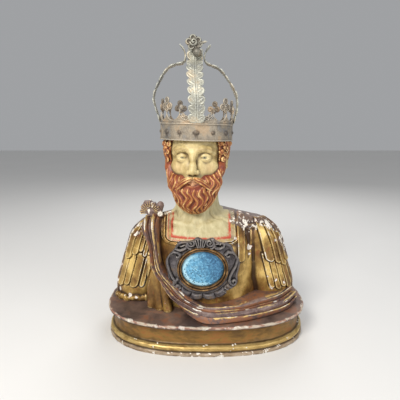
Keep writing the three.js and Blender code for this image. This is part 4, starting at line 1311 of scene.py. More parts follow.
def make_knot():
    """The mantle's knot on the shoulder: a gathered rosette, a ring and its tail."""
    knot = Clay((-166, -46, 168), (-84, 34, 250), 0.8)

    def rosette(x, y, z):
        u, v, w = x + 128, y + 6, z - 208
        turn = np.arctan2(u, w + 3)
        reach = np.hypot(u, w + 3)
        rim = 25 + 2.5 * np.cos(3 * turn + 1) + 1.2 * np.cos(13 * turn)
        pleats = 1.5 * np.cos(26 * turn) * ease(4, 12, reach)
        thick = 4.5 + 0.16 * reach + pleats
        disc = np.maximum(reach - rim, np.abs(v - 0.006 * reach ** 2) - thick)
        return np.maximum(disc, -(w + 6) * 0.8)

    knot.add(Form((-158, -30, 196), (-98, 18, 236), rosette), 1.5)
    knot.cut(ball((-127, -16, 212), (6.5, 9, 5.5)), 2)
    knot.add(ball((-105, 3, 219), (8, 5, 10)), 6)
    knot.add(rod((-122, -2, 180), (-126, -6, 206), 12, 7), 3)
    for k in range(9):
        turn = k * 2 * math.pi / 9
        knot.add(ball((-123 + 9 * math.sin(turn), -6 - 8 * math.cos(turn), 200), (3.6, 3.6, 3.4)), 1.2)
    knot.add(ball((-104, -17, 203), (6.5, 6, 6)), 1.5)
    knot.cut(ball((-103, -23, 203), (2.6, 3, 2.6)), 1)
    piece, carved = knot.mesh("carved_knot", on_plinth)
    wear_and_shade_marks(piece, knot, carved)
    x, y, z = carved.T
    white_ring = ease(8.5, 6.5, np.hypot(np.hypot(x + 104, y + 17), z - 203))
    chipped = ease(0.5, 0.8, knot.read(carved, scatter(knot.field.shape, 9, SEEDS["knot"])))
    mark(piece, "loss", np.maximum(white_ring, chipped))
    return piece


# Mouldings: a plan drawn by a circle, extruded and resized through the points of a profile
def superellipse(count, power):
    turn = np.arange(count) * 2 * math.pi / count
    c, s = np.cos(turn), np.sin(turn)
    return np.stack([np.sign(c) * np.abs(c) ** (2 / power), np.sign(s) * np.abs(s) ** (2 / power)], axis=1)


def moulding(name, half_x, half_y, power, profile, count, closed=False):
    """Sweeps a profile of (offset, height) round an oval plan; a closed profile makes a ring."""
    bpy.ops.object.select_all(action="DESELECT")
    fill = "NOTHING" if closed else "NGON"
    bpy.ops.mesh.primitive_circle_add(vertices=count, radius=1, fill_type=fill)
    piece = bpy.context.active_object
    piece.name = name
    offset, height = profile[0]
    plan = superellipse(count, power) * (half_x + offset, half_y + offset)
    set_vertices(piece, np.column_stack([plan, np.full(count, height)]) * MM)
    bpy.ops.object.mode_set(mode="EDIT")
    bpy.ops.mesh.select_mode(type="EDGE")
    bpy.ops.mesh.select_all(action="SELECT")
    for (before, low), (after, high) in zip(profile, profile[1:]):
        bpy.ops.mesh.extrude_edges_move(TRANSFORM_OT_translate={"value": (0, 0, (high - low) * MM)})
        grown = ((half_x + after) / (half_x + before), (half_y + after) / (half_y + before), 1)
        bpy.ops.transform.resize(value=grown, center_override=(0, 0, 0))
    if not closed:
        bpy.ops.mesh.edge_face_add()
    bpy.ops.mesh.select_all(action="SELECT")
    bpy.ops.mesh.remove_doubles(threshold=0.01 * MM)
    bpy.ops.mesh.normals_make_consistent(inside=False)
    bpy.ops.object.mode_set(mode="OBJECT")
    bpy.ops.object.shade_smooth_by_angle(angle=math.radians(50))
    return piece


def arc(centre, radius, first, last, steps):
    """Points of a round stretch of a profile, between two angles in degrees from outwards to up."""
    turns = np.radians(np.linspace(first, last, steps))
    return [(centre[0] + radius * math.cos(t), centre[1] + radius * math.sin(t)) for t in turns]


def ripple(points, size, seed):
    """A smooth random value at each point, about -1 to 1, with swells of a size in millimetres."""
    draw = np.random.default_rng(seed)
    total = np.zeros(len(points))
    for _ in range(14):
        way = draw.normal(size=3)
        way *= draw.uniform(0.6, 1.6) / np.linalg.norm(way) * 2 * math.pi / size
        total += np.sin(points @ way + draw.uniform(0, 2 * math.pi))
    return total / 3.2


# The base
PLINTH_X, PLINTH_Y, PLINTH_POWER = 228.0, 154.0, 2.5
PLINTH_SIDES = 540
# How worn the base is at each height, and where shade is painted into its grooves and under the board's lip
WEAR = [(0, 0.5), (1, 0.85), (5, 0.6), (7.5, 0.9), (9, 0), (12, 0.2), (16, 0.45), (20, 0.2), (22, 0.4),
        (24, 0.4), (26, 0), (59, 0), (60.5, 0.5), (63, 0.75), (67, 0.95), (67.9, 0.6), (67.99, 0)]
GROOVES = [(7.4, 0), (8.2, 1), (9.6, 1), (11, 0), (20, 0), (21.9, 0.5), (24.4, 1), (27, 0),
           (54, 0), (58.5, 0.7), (60.2, 1), (61, 0)]


def plinth_profile():
    """The side of the base from its foot to the board on top, as (offset, height)."""
    foot = [(-4, 0), (-2, 0.6)] + arc((-3.4, 3.0), 2.2, -30, 30, 4) + [(-1.4, 6.2), (-2.6, 7.4), (-5.4, 8.2)]
    torus = [(-5.6, 9.6)] + arc((-8.4, 15.4), 5.6, -68, 76, 14) + [(-7.4, 21.9), (-7.6, 23.6), (-10.4, 24.4)]
    frieze = [(-11.6, 26.5), (-13.2, 31), (-14.4, 36), (-15, 42), (-14.6, 48), (-12.8, 53), (-9.8, 56.6)]
    board = [(-6.6, 58.8), (-3.2, 60), (-0.8, 60.4)] + arc((-2.2, 63.6), 2.5, -40, 20, 5)
    board += arc((-2.4, 64.9), 2.6, 20, 80, 5)
    return foot + torus + frieze + board + [(-4.4, PLINTH_TOP - 0.15), (-6, PLINTH_TOP), (-7, PLINTH_TOP)]


def make_plinth():
    piece = moulding("base_moulding", PLINTH_X, PLINTH_Y, PLINTH_POWER, plinth_profile(), PLINTH_SIDES)
    points = vertices_of(piece) / MM
    x, y, z = points.T
    wear = np.interp(z, *zip(*WEAR))
    ragged = 0.9 * ripple(points, 23, SEEDS["base_loss"]) + 0.8 * ripple(points, 6, SEEDS["base_edge"])
    loss = ease(1.38, 1.66, 0.6 * ragged + wear) * (wear > 0.02)
    inward = np.column_stack([x, y, 0 * z]) / np.hypot(x, y)[:, None]
    edge_ring = np.hypot(x / PLINTH_X, y / PLINTH_Y) > 0.5
    dent = (1.1 * loss + 0.35 * ripple(points, 26, SEEDS["base"])) * edge_ring
    set_vertices(piece, (points - inward * dent[:, None]) * MM)
    mark(piece, "loss", loss)
    mark(piece, "wear", wear)
    mark(piece, "board", ease(59.5, 60.3, z))
    mark(piece, "foot", ease(9.5, 8.0, z))
    mark(piece, "bright", ease(9, 11, z) * ease(25, 23, z))
    # Painted shade in the grooves and under the board's lip
    mark(piece, "groove", np.interp(z, *zip(*GROOVES)))
    return piece


def gilded_base():
    paint = Paint("gilded_base")
    patches = paint.noise(60, 5, 0.62, 0.4, paint.stretched(1, 1, 1.8))
    streaks = paint.noise(14, 4, 0.65, 0.5, paint.stretched(0.6, 0.6, 2.0))
    fine = paint.noise(2.4, 3, 0.6)
    bright, board, foot = paint.marked("bright"), paint.marked("board"), paint.marked("foot")
    gold = paint.ramp(patches * 0.6 + streaks * 0.4, [
        (0.34, (0.11, 0.056, 0.015)), (0.45, (0.18, 0.095, 0.022)),
        (0.56, (0.30, 0.165, 0.036)), (0.68, (0.50, 0.30, 0.075))])
    light = paint.ramp(streaks, [
        (0.3, (0.30, 0.17, 0.045)), (0.5, (0.60, 0.42, 0.15)), (0.7, (0.80, 0.62, 0.28))])
    pale = paint.ramp(streaks, [
        (0.3, (0.16, 0.11, 0.07)), (0.5, (0.36, 0.27, 0.18)), (0.7, (0.58, 0.50, 0.40))])
    wood = paint.ramp(patches, [
        (0.35, (0.055, 0.034, 0.028)), (0.48, (0.12, 0.075, 0.058)),
        (0.6, (0.19, 0.12, 0.086)), (0.72, (0.26, 0.18, 0.13))])
    rust = (patches * 0.45 + streaks * 0.55).between(0.5, 0.6)
    rubbed = paint.blend((0.46, 0.22, 0.15), (0.62, 0.54, 0.42), streaks.between(0.42, 0.55))
    line = paint.marked("wear").broken(streaks, 0.9).between(0.62, 0.9) * board
    bare = paint.marked("loss").broken(fine, 0.6).between(0.4, 0.6)
    colour = paint.coats(
        gold,
        ((0.26, 0.07, 0.02), (patches * 0.5 + streaks * 0.5).between(0.5, 0.6) * 0.6),
        (light, bright * 0.85),
        (pale, foot * 0.85),
        (paint.blend(wood, (0.24, 0.085, 0.035), rust * 0.6), board),
        # Painted shade: near black in the grooves and under the board's lip
        ((0.02, 0.011, 0.005), paint.marked("groove") * 0.8),
        (rubbed, line * 0.8),
        (gesso_white(paint, fine), bare * (1 - board * (0.2 + 0.5 * patches))))
    shine = (1 - bare) * (1 - board) * (1 - foot * 0.6)
    return paint.finish(
        base_color=colour, metallic=shine * (0.35 + 0.25 * bright),
        roughness=(0.55 - 0.12 * shine).broken(fine, 0.15), normal=paint.bump(fine + 0.8 * streaks, 0.4, 0.6))


# The window in the breast: a carved frame, a bezel and a domed plate
PLATE_X, PLATE_Z = 46.0, 40.5
PLATE_RINGS, PLATE_DOME = 13, 3
RIM_WIDTH = 8.5
# The bezel's groove, painted dark as shade: its place and its width, as shares of the plate's reach
RIM_GROOVE, GROOVE_WIDTH = 1.09, 0.032


def on_window(points):
    """From a ring drawn flat, its height towards the viewer, to the window."""
    x, y, z = np.asarray(points).T
    return np.column_stack([WINDOW_X + x, SEAT_Y - z, WINDOW_Z + y])


def stood_up(piece):
    set_vertices(piece, on_window(vertices_of(piece) / MM) * MM)
    return piece


def make_rim():
    profile = [(CLEARANCE, CLEARANCE), (CLEARANCE, 10.4)] + arc((1.7, 10.6), 1.4, 180, 0, 9)
    profile += [(3.4, 9.2), (4.2, 9.4)] + arc((6.1, 11.8), 2.2, 190, -20, 13)
    profile += [(8.6, 8.6), (8.8, 7), (8.8, CLEARANCE), (CLEARANCE, CLEARANCE)]
    piece = stood_up(moulding("bezel", PLATE_X, PLATE_Z, 2.0, profile, 220, closed=True))
    x, y, z = (vertices_of(piece) / MM).T
    away = np.hypot((x - WINDOW_X) / PLATE_X, (z - WINDOW_Z) / PLATE_Z)
    # Painted shade in the bezel's groove
    mark(piece, "groove", np.exp(-(((away - RIM_GROOVE) / GROOVE_WIDTH) ** 2)))
    return piece


def dull_gilt():
    paint = Paint("dull_gilt")
    patches, fine = paint.noise(14, 4, 0.6), paint.noise(2.0, 3, 0.6)
    colour = paint.ramp(patches * 0.7 + fine * 0.3, [
        (0.34, (0.07, 0.036, 0.014)), (0.47, (0.19, 0.10, 0.036)),
        (0.58, (0.36, 0.20, 0.075)), (0.7, (0.60, 0.42, 0.20))])
    # Painted shade: near black in the groove
    colour = paint.blend(colour, (0.016, 0.009, 0.005), paint.marked("groove") * 0.9)
    return paint.finish(
        base_color=colour, metallic=0.75 - 0.3 * patches, roughness=0.34 + 0.25 * fine,
        normal=paint.bump(fine, 0.3, 0.6))


def make_plate():
    front = CLEARANCE + 5.0
    profile = [(0, CLEARANCE), (0, front - 0.8), (-0.5, front - 0.2)]
    for k in range(1, PLATE_RINGS):
        share = k / PLATE_RINGS
        profile.append((-PLATE_Z * share, front + PLATE_DOME * (1 - (1 - share) ** 2)))
    return stood_up(moulding("domed_plate", PLATE_X, PLATE_Z, 2.0, profile, 200))


def speckled_blue():
    """Cloudy blue with painted shade, deeper to the right and a little upwards, a painted highlight paler
    along the lower left edge, a painted shadow of the rim round the edge, and dark specks low on the left.
    """
    paint = Paint("speckled_blue")
    clouds, swirl = paint.noise(30, 5, 0.62, 1.0), paint.noise(8, 5, 0.68, 1.4)
    across = paint.node("ShaderNodeSeparateXYZ", {}, {0: paint.place}, "X") / MM - WINDOW_X
    up = paint.node("ShaderNodeSeparateXYZ", {}, {0: paint.place}, "Z") / MM - WINDOW_Z
    reach = paint.node("ShaderNodeCombineXYZ", {}, {0: across / PLATE_X, 1: up / PLATE_Z})
    reach = paint.node("ShaderNodeVectorMath", {"operation": "LENGTH"}, {0: reach}, "Value")
    edge = reach.between(0.7, 1.0)
    # Painted shade: the plate darkens to the right and a little upwards
    shade = (across * 0.011 + up * 0.004).broken(clouds, 0.9).between(-0.35, 0.45)
    low_left = (across * -0.012 + up * -0.02).broken(swirl, 0.8).between(-0.25, 0.5)
    # Painted highlight: paler along the lower left edge
    pale = edge.between(0.0, 0.4) * (across * -0.02 + up * -0.012).broken(clouds, 1.0).between(-0.1, 0.5)
    blots = paint.noise(11, 5, 0.75, 1.2).between(0.49, 0.58)
    spots = paint.specks(4.6, paint.stretched(1, 0.3, 1)).between(0.36, 0.26)
    small = paint.specks(1.8).between(0.40, 0.26) * clouds.between(0.44, 0.56)
    dark = spots * swirl.between(0.36, 0.46) * (0.25 + 0.75 * low_left)
    light = paint.ramp(swirl * 0.7 + clouds * 0.3, [
        (0.38, (0.06, 0.24, 0.42)), (0.47, (0.13, 0.40, 0.62)),
        (0.55, (0.25, 0.57, 0.78)), (0.66, (0.50, 0.80, 0.93))])
    # The plate's blue in painted shade
    deep = paint.ramp(swirl, [
        (0.40, (0.010, 0.05, 0.12)), (0.50, (0.028, 0.12, 0.26)), (0.62, (0.08, 0.27, 0.47))])
    colour = paint.coats(
        light,
        (deep, shade * 0.9),
        ((0.10, 0.27, 0.24), (swirl * 0.6 + 0.4 * clouds).between(0.55, 0.66) * 0.35),
        ((0.022, 0.10, 0.20), blots * (0.35 + 0.4 * shade)),
        ((0.012, 0.05, 0.10), dark.most(small * 0.5) * 0.88),
        ((0.52, 0.83, 0.95), pale * (1 - dark) * 0.7),
        # Painted shadow of the rim round the plate's edge
        ((0.04, 0.10, 0.13), edge.between(0.75, 1.0) * 0.7))
    return paint.finish(base_color=colour, roughness=0.32 + 0.3 * swirl, normal=paint.bump(dark, -0.4, 0.6))


def raised(x, z, points, wide, thin, rise):
    """The height of a rounded ridge that tapers along points on a plane."""
    widths = np.linspace(wide, thin, len(points))
    best = np.zeros(np.broadcast(x, z).shape, np.float32)
    for (ax, az), (bx, bz), wa, wb in zip(points, points[1:], widths, widths[1:]):
        dx, dz = bx - ax, bz - az
        t = np.clip(((x - ax) * dx + (z - az) * dz) / (dx * dx + dz * dz + 1e-9), 0, 1)
        away = np.hypot(x - ax - dx * t, z - az - dz * t) / (wa + (wb - wa) * t)
        best = np.maximum(best, np.sqrt(np.clip(1 - away ** 2, 0, 1)))
    return best * rise


def dished(x, z, middle, radii, lean):
    """1 in the middle of an oval hollow, 0 at its edge and beyond."""
    c, s = math.cos(math.radians(lean)), math.sin(math.radians(lean))
    u, v = x - middle[0], z - middle[1]
    away = ((u * c + v * s) / radii[0]) ** 2 + ((v * c - u * s) / radii[1]) ** 2
    return np.clip(1 - away, 0, 1)


# Strokes of the frame's carving: points in millimetres, the widths at both ends and the height
FRAME_STROKES = [
    ([(-56, 199), (-61, 205), (-70, 206), (-79, 201), (-84, 191), (-84, 178), (-80, 163), (-74, 149),
      (-66, 139)], 4.2, 3.2, 15),
    ([(41, 200), (46, 205), (55, 205), (63, 199), (67, 188), (63, 173), (56, 161), (51, 150),
      (49, 141)], 4.2, 3.4, 15),
    ([(-56, 199), (-60, 194), (-66, 195)], 3.4, 2.4, 14),
    ([(41, 200), (44, 195), (49, 196)], 3.4, 2.4, 14),
    ([(-62, 144), (-70, 138), (-71, 130), (-64, 126)], 4.6, 3.0, 14),
    ([(-38, 220), (-46, 213), (-56, 209), (-66, 213), (-69, 220), (-62, 223)], 4.4, 2.6, 15),
    ([(-36, 224), (-46, 221), (-56, 217)], 2.6, 2.0, 12),
    ([(14, 220), (20, 214), (28, 213), (36, 217), (38, 224), (32, 227), (28, 222)], 4.2, 2.4, 15),
    ([(10, 217), (18, 223), (26, 224)], 2.4, 1.8, 12),
]
SHELL_X = -12.5
FRINGE_LOBES = 15
# Hollows in the frame: middle, radii and lean
FRAME_HOLLOWS = [
    ((-71, 188), (8.5, 14), 12), ((54, 187), (7.5, 14), -12), ((-57, 215), (5, 3), 0), ((28, 219), (4, 3), 0)]


def frame_strokes():
    """All strokes of the frame: those drawn singly, the shell and scrolls on top, and the side leaves."""
    strokes = list(FRAME_STROKES)
    for side, middle in ((-1, (-31.5, 226.5)), (1, (6.5, 226.5))):
        scroll = spiral(middle, 9.0, 90 - side * 40, -side * 1.4, 22)
        strokes.append(([(middle[0] + side * 3, 213), (middle[0] + side * 11, 219)] + scroll, 4.0, 2.2, 16))
    for k in range(-2, 3):
        rib = [(SHELL_X + 2.0 * k, 212), (SHELL_X + 4.2 * k, 223), (SHELL_X + 5.6 * k, 233 - 0.7 * k * k)]
        strokes.append((rib, 2.2, 2.9, 14.5))
    strokes.append((spiral((59, 138), 8.0, 165, 1.15, 16), 4.0, 2.6, 15))
    for k in range(4):
        for side, first in ((-1, -52), (1, 36)):
            x, z = first + side * 4.6 * k, 118 + 6.2 * k
            strokes.append(([(x, z), (x + side * 9, z - 6)], 3.0, 2.4, 13))
    return strokes


def fringe(angle):
    """How surely an angle belongs to the frame's lower fringe, and the rise of the lobes there."""
    return ease(66, 54, np.abs(np.degrees(angle))), np.abs(np.sin(0.5 * FRINGE_LOBES * angle))


def frame_relief(x, z):
    """The height of the frame's carving over its seat."""
    across, up = x - WINDOW_X, z - WINDOW_Z
    angle = np.arctan2(across, -up)
    inner = np.hypot((PLATE_X + RIM_WIDTH) * np.sin(angle), (PLATE_Z + RIM_WIDTH) * np.cos(angle))
    share = (np.hypot(across, up) - inner) / (frame_outline(angle) - inner)
    below, lobe = fringe(angle)
    height = 5.0 + 3.0 * np.exp(-((share - 0.05) / 0.08) ** 2)
    height = height + (1 - below) * 4.5 * np.exp(-((share - 0.88) / 0.14) ** 2)
    height = height + below * 8.0 * lobe ** 0.6 * ease(0.26, 0.5, share) * ease(1.15, 0.8, share)
    height = height + below * 3.0 * np.exp(-((share - 0.22) / 0.07) ** 2)
    for points, wide, thin, rise in frame_strokes():
        height = np.maximum(height, raised(x, z, points, wide, thin, rise))
    for middle, radii, lean in FRAME_HOLLOWS:
        hollow = dished(x, z, middle, radii, lean)
        height = np.where(hollow > 0, np.minimum(height, 7.5 - 5.0 * np.sqrt(hollow)), height)
    return height


def make_frame():
    frame_block = Clay((-94, -1.5, 89), (78, 19, 243), 0.75)
    x, depth, z = frame_block.whole()
    across, up = x - WINDOW_X, z - WINDOW_Z
    angle = np.arctan2(across, -up)
    outline = np.hypot(across, up) - frame_outline(angle)
    edge = PLATE_X + RIM_WIDTH + 2 * CLEARANCE, PLATE_Z + RIM_WIDTH + 2 * CLEARANCE
    inside = (1 - np.hypot(across / edge[0], up / edge[1])) * edge[1]
    relief = (depth - frame_relief(x, z)) * 0.75
    below, lobe = fringe(angle)
    field = cut(relief, -outline - 3.0 * below * (1 - lobe), 1.5)
    field = np.maximum(np.maximum(field, inside), CLEARANCE - depth)
    frame_block.field = field + 0.25 * scatter(field.shape, 7, SEEDS["frame"])

    def place(points):
        return np.column_stack([points[:, 0], SEAT_Y + seat_bend(points[:, 0]) - points[:, 1], points[:, 2]])

    piece, carved = frame_block.mesh("carved_frame", place)
    wear_and_shade_marks(piece, frame_block, carved)
    return piece


def tarnished_leaf():
    paint = Paint("tarnished_leaf")
    edge, hollow = paint.marked("edge"), paint.marked("hollow")
    patches, fine = paint.noise(18, 4, 0.62, 0.4), paint.noise(2.2, 4, 0.6)
    colour = paint.ramp(patches * 0.6 + fine * 0.4, [
        (0.34, (0.045, 0.038, 0.042)), (0.46, (0.095, 0.083, 0.088)),
        (0.58, (0.16, 0.145, 0.145)), (0.7, (0.26, 0.235, 0.22))])
    # Dirt and painted shade: near black in hollows and broad recesses
    dirt_and_shade = (hollow + paint.marked("deep") * 0.4).broken(fine, 0.4)
    colour = paint.coats(
        colour,
        ((0.20, 0.115, 0.05), patches.between(0.53, 0.66) * 0.5),
        ((0.23, 0.215, 0.21), edge.broken(fine, 0.3).between(0.0, 0.35) * 0.6),
        ((0.008, 0.006, 0.006), dirt_and_shade.between(-0.2, 0.8) * 0.93),
        ((0.46, 0.42, 0.37), edge.broken(fine, 0.5).between(0.34, 0.64) * 0.6))
    return paint.finish(
        base_color=colour, metallic=0.45 - 0.2 * patches, roughness=0.42 + 0.2 * fine,
        normal=paint.bump(fine, 0.35, 0.7))


# The crown, in a frame of its own: the band's foot at height 0. First half the thickness of its metal
BAND_SHEET, HOOP_SHEET = 1.2, 1.1
BAND_MIDDLE = CROWN_INNER + BAND_SHEET
# The points of the cresting, where they start and how far they rise
POINTS = 14
COLLAR_TOP = 42.0
POINT_RISE = 18.0
# How far the hoops lean, and the heights between which they do
LEAN = 7.0
LEAN_START, LEAN_END = 62.0, 165.0
# Half sizes of the bosses on the band, which take turns, and their height on it
BOSSES = ((5.8, 3.8), (3.7, 3.6))
BOSS_Z = 17.5
# Fleurons and curls of the cresting: which point they stand on and how far they lean
FLEURONS = ((-2, 0), (-4, 0), (-6, 6), (2, -4), (4, 0), (6, -6))
CURLS = ((-1, 4.0), (3, 1.0), (5, -2.0), (-5, 3.0))
# The leaf lobes of a hoop: how far apart they stand and how far they turn up
LOBE_PITCH = 18.0
LOBE_LEAN = math.radians(38)
# The hoops: side, turn in degrees, bulge and how far the tip curls outwards
HOOPS = [("front", 0, 90, 0), ("right", 90, 88.5, 12), ("back", 180, 90, 12), ("left", -90, 93, 12)]


def leaned(points):
    """The hoops and what stands on them lean to the figure's right as they rise."""
    x, y, z = np.asarray(points).T
    return in_crown(np.column_stack([x - LEAN * ease(LEAN_START, LEAN_END, z), y, z]))


def in_crown(points):
    x, y, z = np.asarray(points).T
    c, s = math.cos(CROWN_TILT), math.sin(CROWN_TILT)
    return np.column_stack([HEAD_X + c * x + s * z, CROWN_Y + y, CROWN_FOOT - s * x + c * z])


def rolled(points):
    """From the flat sheet of the band to the round: x along it, y outwards."""
    u, out, z = points.T
    turn, r = u / BAND_MIDDLE, BAND_MIDDLE + out
    return in_crown(np.column_stack([r * np.sin(turn), -r * np.cos(turn), z]))


def circle(x, z, middle, radius):
    return np.hypot(x - middle[0], z - middle[1]) - radius


def band_outline(u, z):
    """Distance from the upper edge of the band and its points, negative in the metal."""
    place = u / (2 * math.pi * BAND_MIDDLE / POINTS)
    nearest = np.round(place)
    away = np.abs(place - nearest) * 2
    rise = POINT_RISE * (1 - np.sqrt(np.clip(1 - (1 - away) ** 2, 0, 1)))
    rise = np.where((nearest == 0) | (np.abs(nearest) == POINTS / 2), 0, rise)
    slope = np.gradient(rise[:, 0, 0], 1.0)[:, None, None]
    return (z - COLLAR_TOP - rise) / np.sqrt(1 + np.minimum(slope, 4) ** 2)


def fleuron_forms(u, z, tip, lean):
    """A four-lobed leaf on the tip of a point: its outline and how far its metal is pushed out."""
    middle = tip + lean
    lobes = [circle(u, z, (middle + 0.3 * lean, 81.5), 7.2), circle(u, z, (middle - 9, 69.5), 7.4)]
    lobes += [circle(u, z, (middle + 9, 69.5), 7.4), circle(u, z, (middle, 64), 5.5)]
    stem = np.maximum(np.abs(u - tip - lean * (z - 58) / 14) - 2.8, np.maximum(57 - z, z - 72))
    outline = np.minimum.reduce(lobes + [stem])
    push = np.zeros_like(outline)
    for lobe in lobes:
        push = np.maximum(push, 1.5 * np.exp(-((lobe + 1.3) / 1.1) ** 2) + 0.8 * ease(-3.5, -6.5, lobe))
    centre = circle(u, z, (middle, 72.5), 4.0)
    return outline, np.maximum(push, 3.2 * np.sqrt(np.clip(-centre / 4.0, 0, 1)))


def from_bosses(u, z, spacing):
    """How far each spot lies from a boss, 1 at the boss's edge, for one boss after the other."""
    for i in range(-POINTS // 2, POINTS // 2 + 1):
        wide, tall = BOSSES[i % 2]
        yield np.hypot((u - i * spacing) / wide, (z - BOSS_Z) / tall)


def make_band():
    half = math.pi * BAND_MIDDLE
    sheet = Clay((-half - 1.5, -6, -1.5), (half + 1.5, 12, 95), 0.75)
    u, out, z = sheet.whole()
    outline = band_outline(u, z)
    spacing = 2 * half / POINTS
    push = 0.9 * np.exp(-((outline + 1.4) / 1.0) ** 2) * (z > BAND_TOP + 2)
    for level in (1.3, BAND_TOP - 0.4):
        push = np.maximum(push, 1.6 * np.sqrt(np.clip(1 - ((z - level) / 1.6) ** 2, 0, 1)) + 0 * u)
    push = push + 0.5 * np.exp(-((z - 38.5) / 1.6) ** 2)
    for away in from_bosses(u, z, spacing):
        push = np.maximum(push, 2.7 * np.sqrt(np.clip(1 - away ** 2, 0, 1)))
        push = push - 0.5 * np.exp(-((away - 1.25) / 0.2) ** 2)
    for i, lean in FLEURONS:
        leaf, leaf_push = fleuron_forms(u, z, i * spacing, lean)
        outline = join(outline, leaf, 1.5)
        push = np.maximum(push, leaf_push)
    for i, lean in CURLS:
        curl = circle(u, z, (i * spacing + lean, 67), 5.2)
        curl = np.minimum(curl, np.maximum(np.abs(u - i * spacing - 0.3 * lean) - 2.2, np.abs(z - 61) - 5))
        outline = join(outline, curl, 2.5)
        push = np.maximum(push, 4.5 * np.sqrt(np.clip(-curl / 5.2, 0, 1)))
    for side in (-1, 1):
        for across, up, r in ((21, 46, 5.2), (27, 51, 4.4)):
            scroll = circle(u, z, (side * across, up), r)
            outline = join(outline, scroll, 1.5)
            rim, eye = np.exp(-((scroll + 1.2) / 1.1) ** 2), np.exp(-((scroll + r) / 1.4) ** 2)
            push = np.maximum(push, 2.0 * rim + 2.2 * eye)
    beaten = 0.55 * scatter((sheet.field.shape[0], 1, sheet.field.shape[2]), 26, SEEDS["band"])
    bent = out - beaten
    metal = np.maximum(bent - BAND_SHEET - push, -bent - BAND_SHEET + 0.8 * np.minimum(push, 1.2))
    field = np.maximum(cut(metal, -outline, 0.6), -z + 0 * u)
    sheet.field = np.maximum(field, np.abs(u) - half).astype(np.float32)
    piece, carved = sheet.mesh("crown_band_sheet", rolled)
    wear_and_shade_marks(piece, sheet, carved)
    u, _, z = carved.T
    # The bosses and the sunk rings round them, set a little low: their dark colour with painted shade
    mark(piece, "boss", np.max([ease(1.5, 1.0, away) for away in from_bosses(u, z + 0.7, spacing)], axis=0))
    return piece


def hoop_line(bulge, tip):
    """A hoop's line in its upright plane: the reach, the height and the length up to each of its points."""
    stops = [(81.3, 37), (82.3, 45), (bulge, 87.5), (bulge - 13, 120.5), (bulge - 38, 151.8), (25, 163),
             (21, 168), (21, 184), (21 + tip, 200)]
    dense = smooth_line([(r, 0, z) for r, z in stops], np.linspace(0, 1, 900))
    length = np.concatenate([[0], np.cumsum(np.linalg.norm(np.diff(dense, axis=0), axis=1))])
    return dense[:, 0], dense[:, 2], length


def hoop_leaves(a, s, total):
    """A strip of leaf lobes in pairs: its outline, negative in the metal, and how far its veins stand out."""
    side = np.abs(a)
    outline = np.maximum(side - 7.0, np.maximum(-s, s - total)) + 0 * s
    veins = np.zeros(outline.shape, np.float32)
    c, d = math.cos(LOBE_LEAN), math.sin(LOBE_LEAN)
    for k in range(int(total // LOBE_PITCH)):
        foot = 2 + LOBE_PITCH * k
        along, away = side * c + (s - foot) * d, (s - foot) * c - side * d
        lobe = (np.sqrt(((along - 9.5) / 11.0) ** 2 + (away / 8.2) ** 2) - 1) * 8.2
        outline = np.minimum(outline, np.maximum(lobe, s - total + 3))
        inside = ease(-0.3, -1.6, lobe)
        line = np.exp(-(away / 1.0) ** 2) * ease(3, 6, along)
        veins = np.maximum(veins, inside * line * 0.8)
        veins = np.maximum(veins, 1.1 * np.exp(-((lobe + 1.6) / 1.2) ** 2) * ease(4.5, 9, side))
    return outline, veins


def make_hoop(name, turn, bulge, tip, seed):
    reach, height, length = hoop_line(bulge, tip)
    total = float(length[-1])
    sheet = Clay((-21, -5, -1.5), (21, 6, total + 1.5), 0.7)
    a, out, s = sheet.whole()
    outline, veins = hoop_leaves(a, s, total)
    side = np.abs(a)
    push = 2.0 * veins + 1.6 * np.exp(-((side - 1.9) / 1.1) ** 2) - 1.2 * np.exp(-(side / 0.9) ** 2)
    push = push * ease(total - 6, total - 24, s) * ease(0, 10, s)
    wobble = 1.3 * scatter((sheet.field.shape[0], 1, sheet.field.shape[2]), 34, seed)
    bent = out - wobble * ease(0, 30, s) * ease(total, total - 30, s)
    metal = np.maximum(bent - HOOP_SHEET - 0.5 * push, -bent - HOOP_SHEET + 0.5 * push)
    sheet.field = cut(metal, -outline, 0.5).astype(np.float32)
    drop = np.gradient(reach, length), np.gradient(height, length)

    def place(points):
        across, outward, along = points.T
        r = np.interp(along, length, reach)
        z = np.interp(along, length, height)
        dr, dz = np.interp(along, length, drop[0]), np.interp(along, length, drop[1])
        r, z = r + outward * dz, z - outward * dr
        cosine, sine = math.cos(turn), math.sin(turn)
        return leaned(np.column_stack([across * cosine + r * sine, across * sine - r * cosine, z]))

    piece, carved = sheet.mesh(name, place)
    wear_and_shade_marks(piece, sheet, carved)
    return piece


def make_finial():
    """A curled flower and a ball, riveted before the top of the front hoop."""
    finial = Clay((-26, -54, 160), (28, -20, 222), 0.5)
    finial.add(ball((5, -33, 179), 9.2), 0.5)
    finial.add(ball((0, -29, 190), (9, 5, 9)), 3)
    for k in range(5):
        turn = math.radians(90 + 72 * k + 10)
        x, z = -3 + 9.5 * math.cos(turn), 198.5 + 8.5 * math.sin(turn)
        finial.add(ball((x, -33, z), (8, 5, 7.5)), 1)
        finial.cut(ball((x + 1.2 * math.cos(turn), -39, z + 1.2 * math.sin(turn)), (5, 4.4, 4.6)), 1)
    line = [(x, -37.5 - 0.12 * i, z) for i, (x, z) in enumerate(spiral((-3, 199), 7.0, 200, 1.3, 20))]
    finial.add_run(line, np.linspace(2.4, 1.5, len(line)), 0.6)
    finial.add_run([(4, -32, 192), (12, -33, 197), (20, -34, 200), (24, -35, 200.5)], (3.2, 3.4, 2.2, 0.9), 1)
    finial.add_run([(4, -33, 190), (11, -34, 191), (15, -35, 195)], (2.8, 2.4, 1.2), 1)
    piece, carved = finial.mesh("crown_flower", leaned)
    wear_and_shade_marks(piece, finial, carved)
    return piece


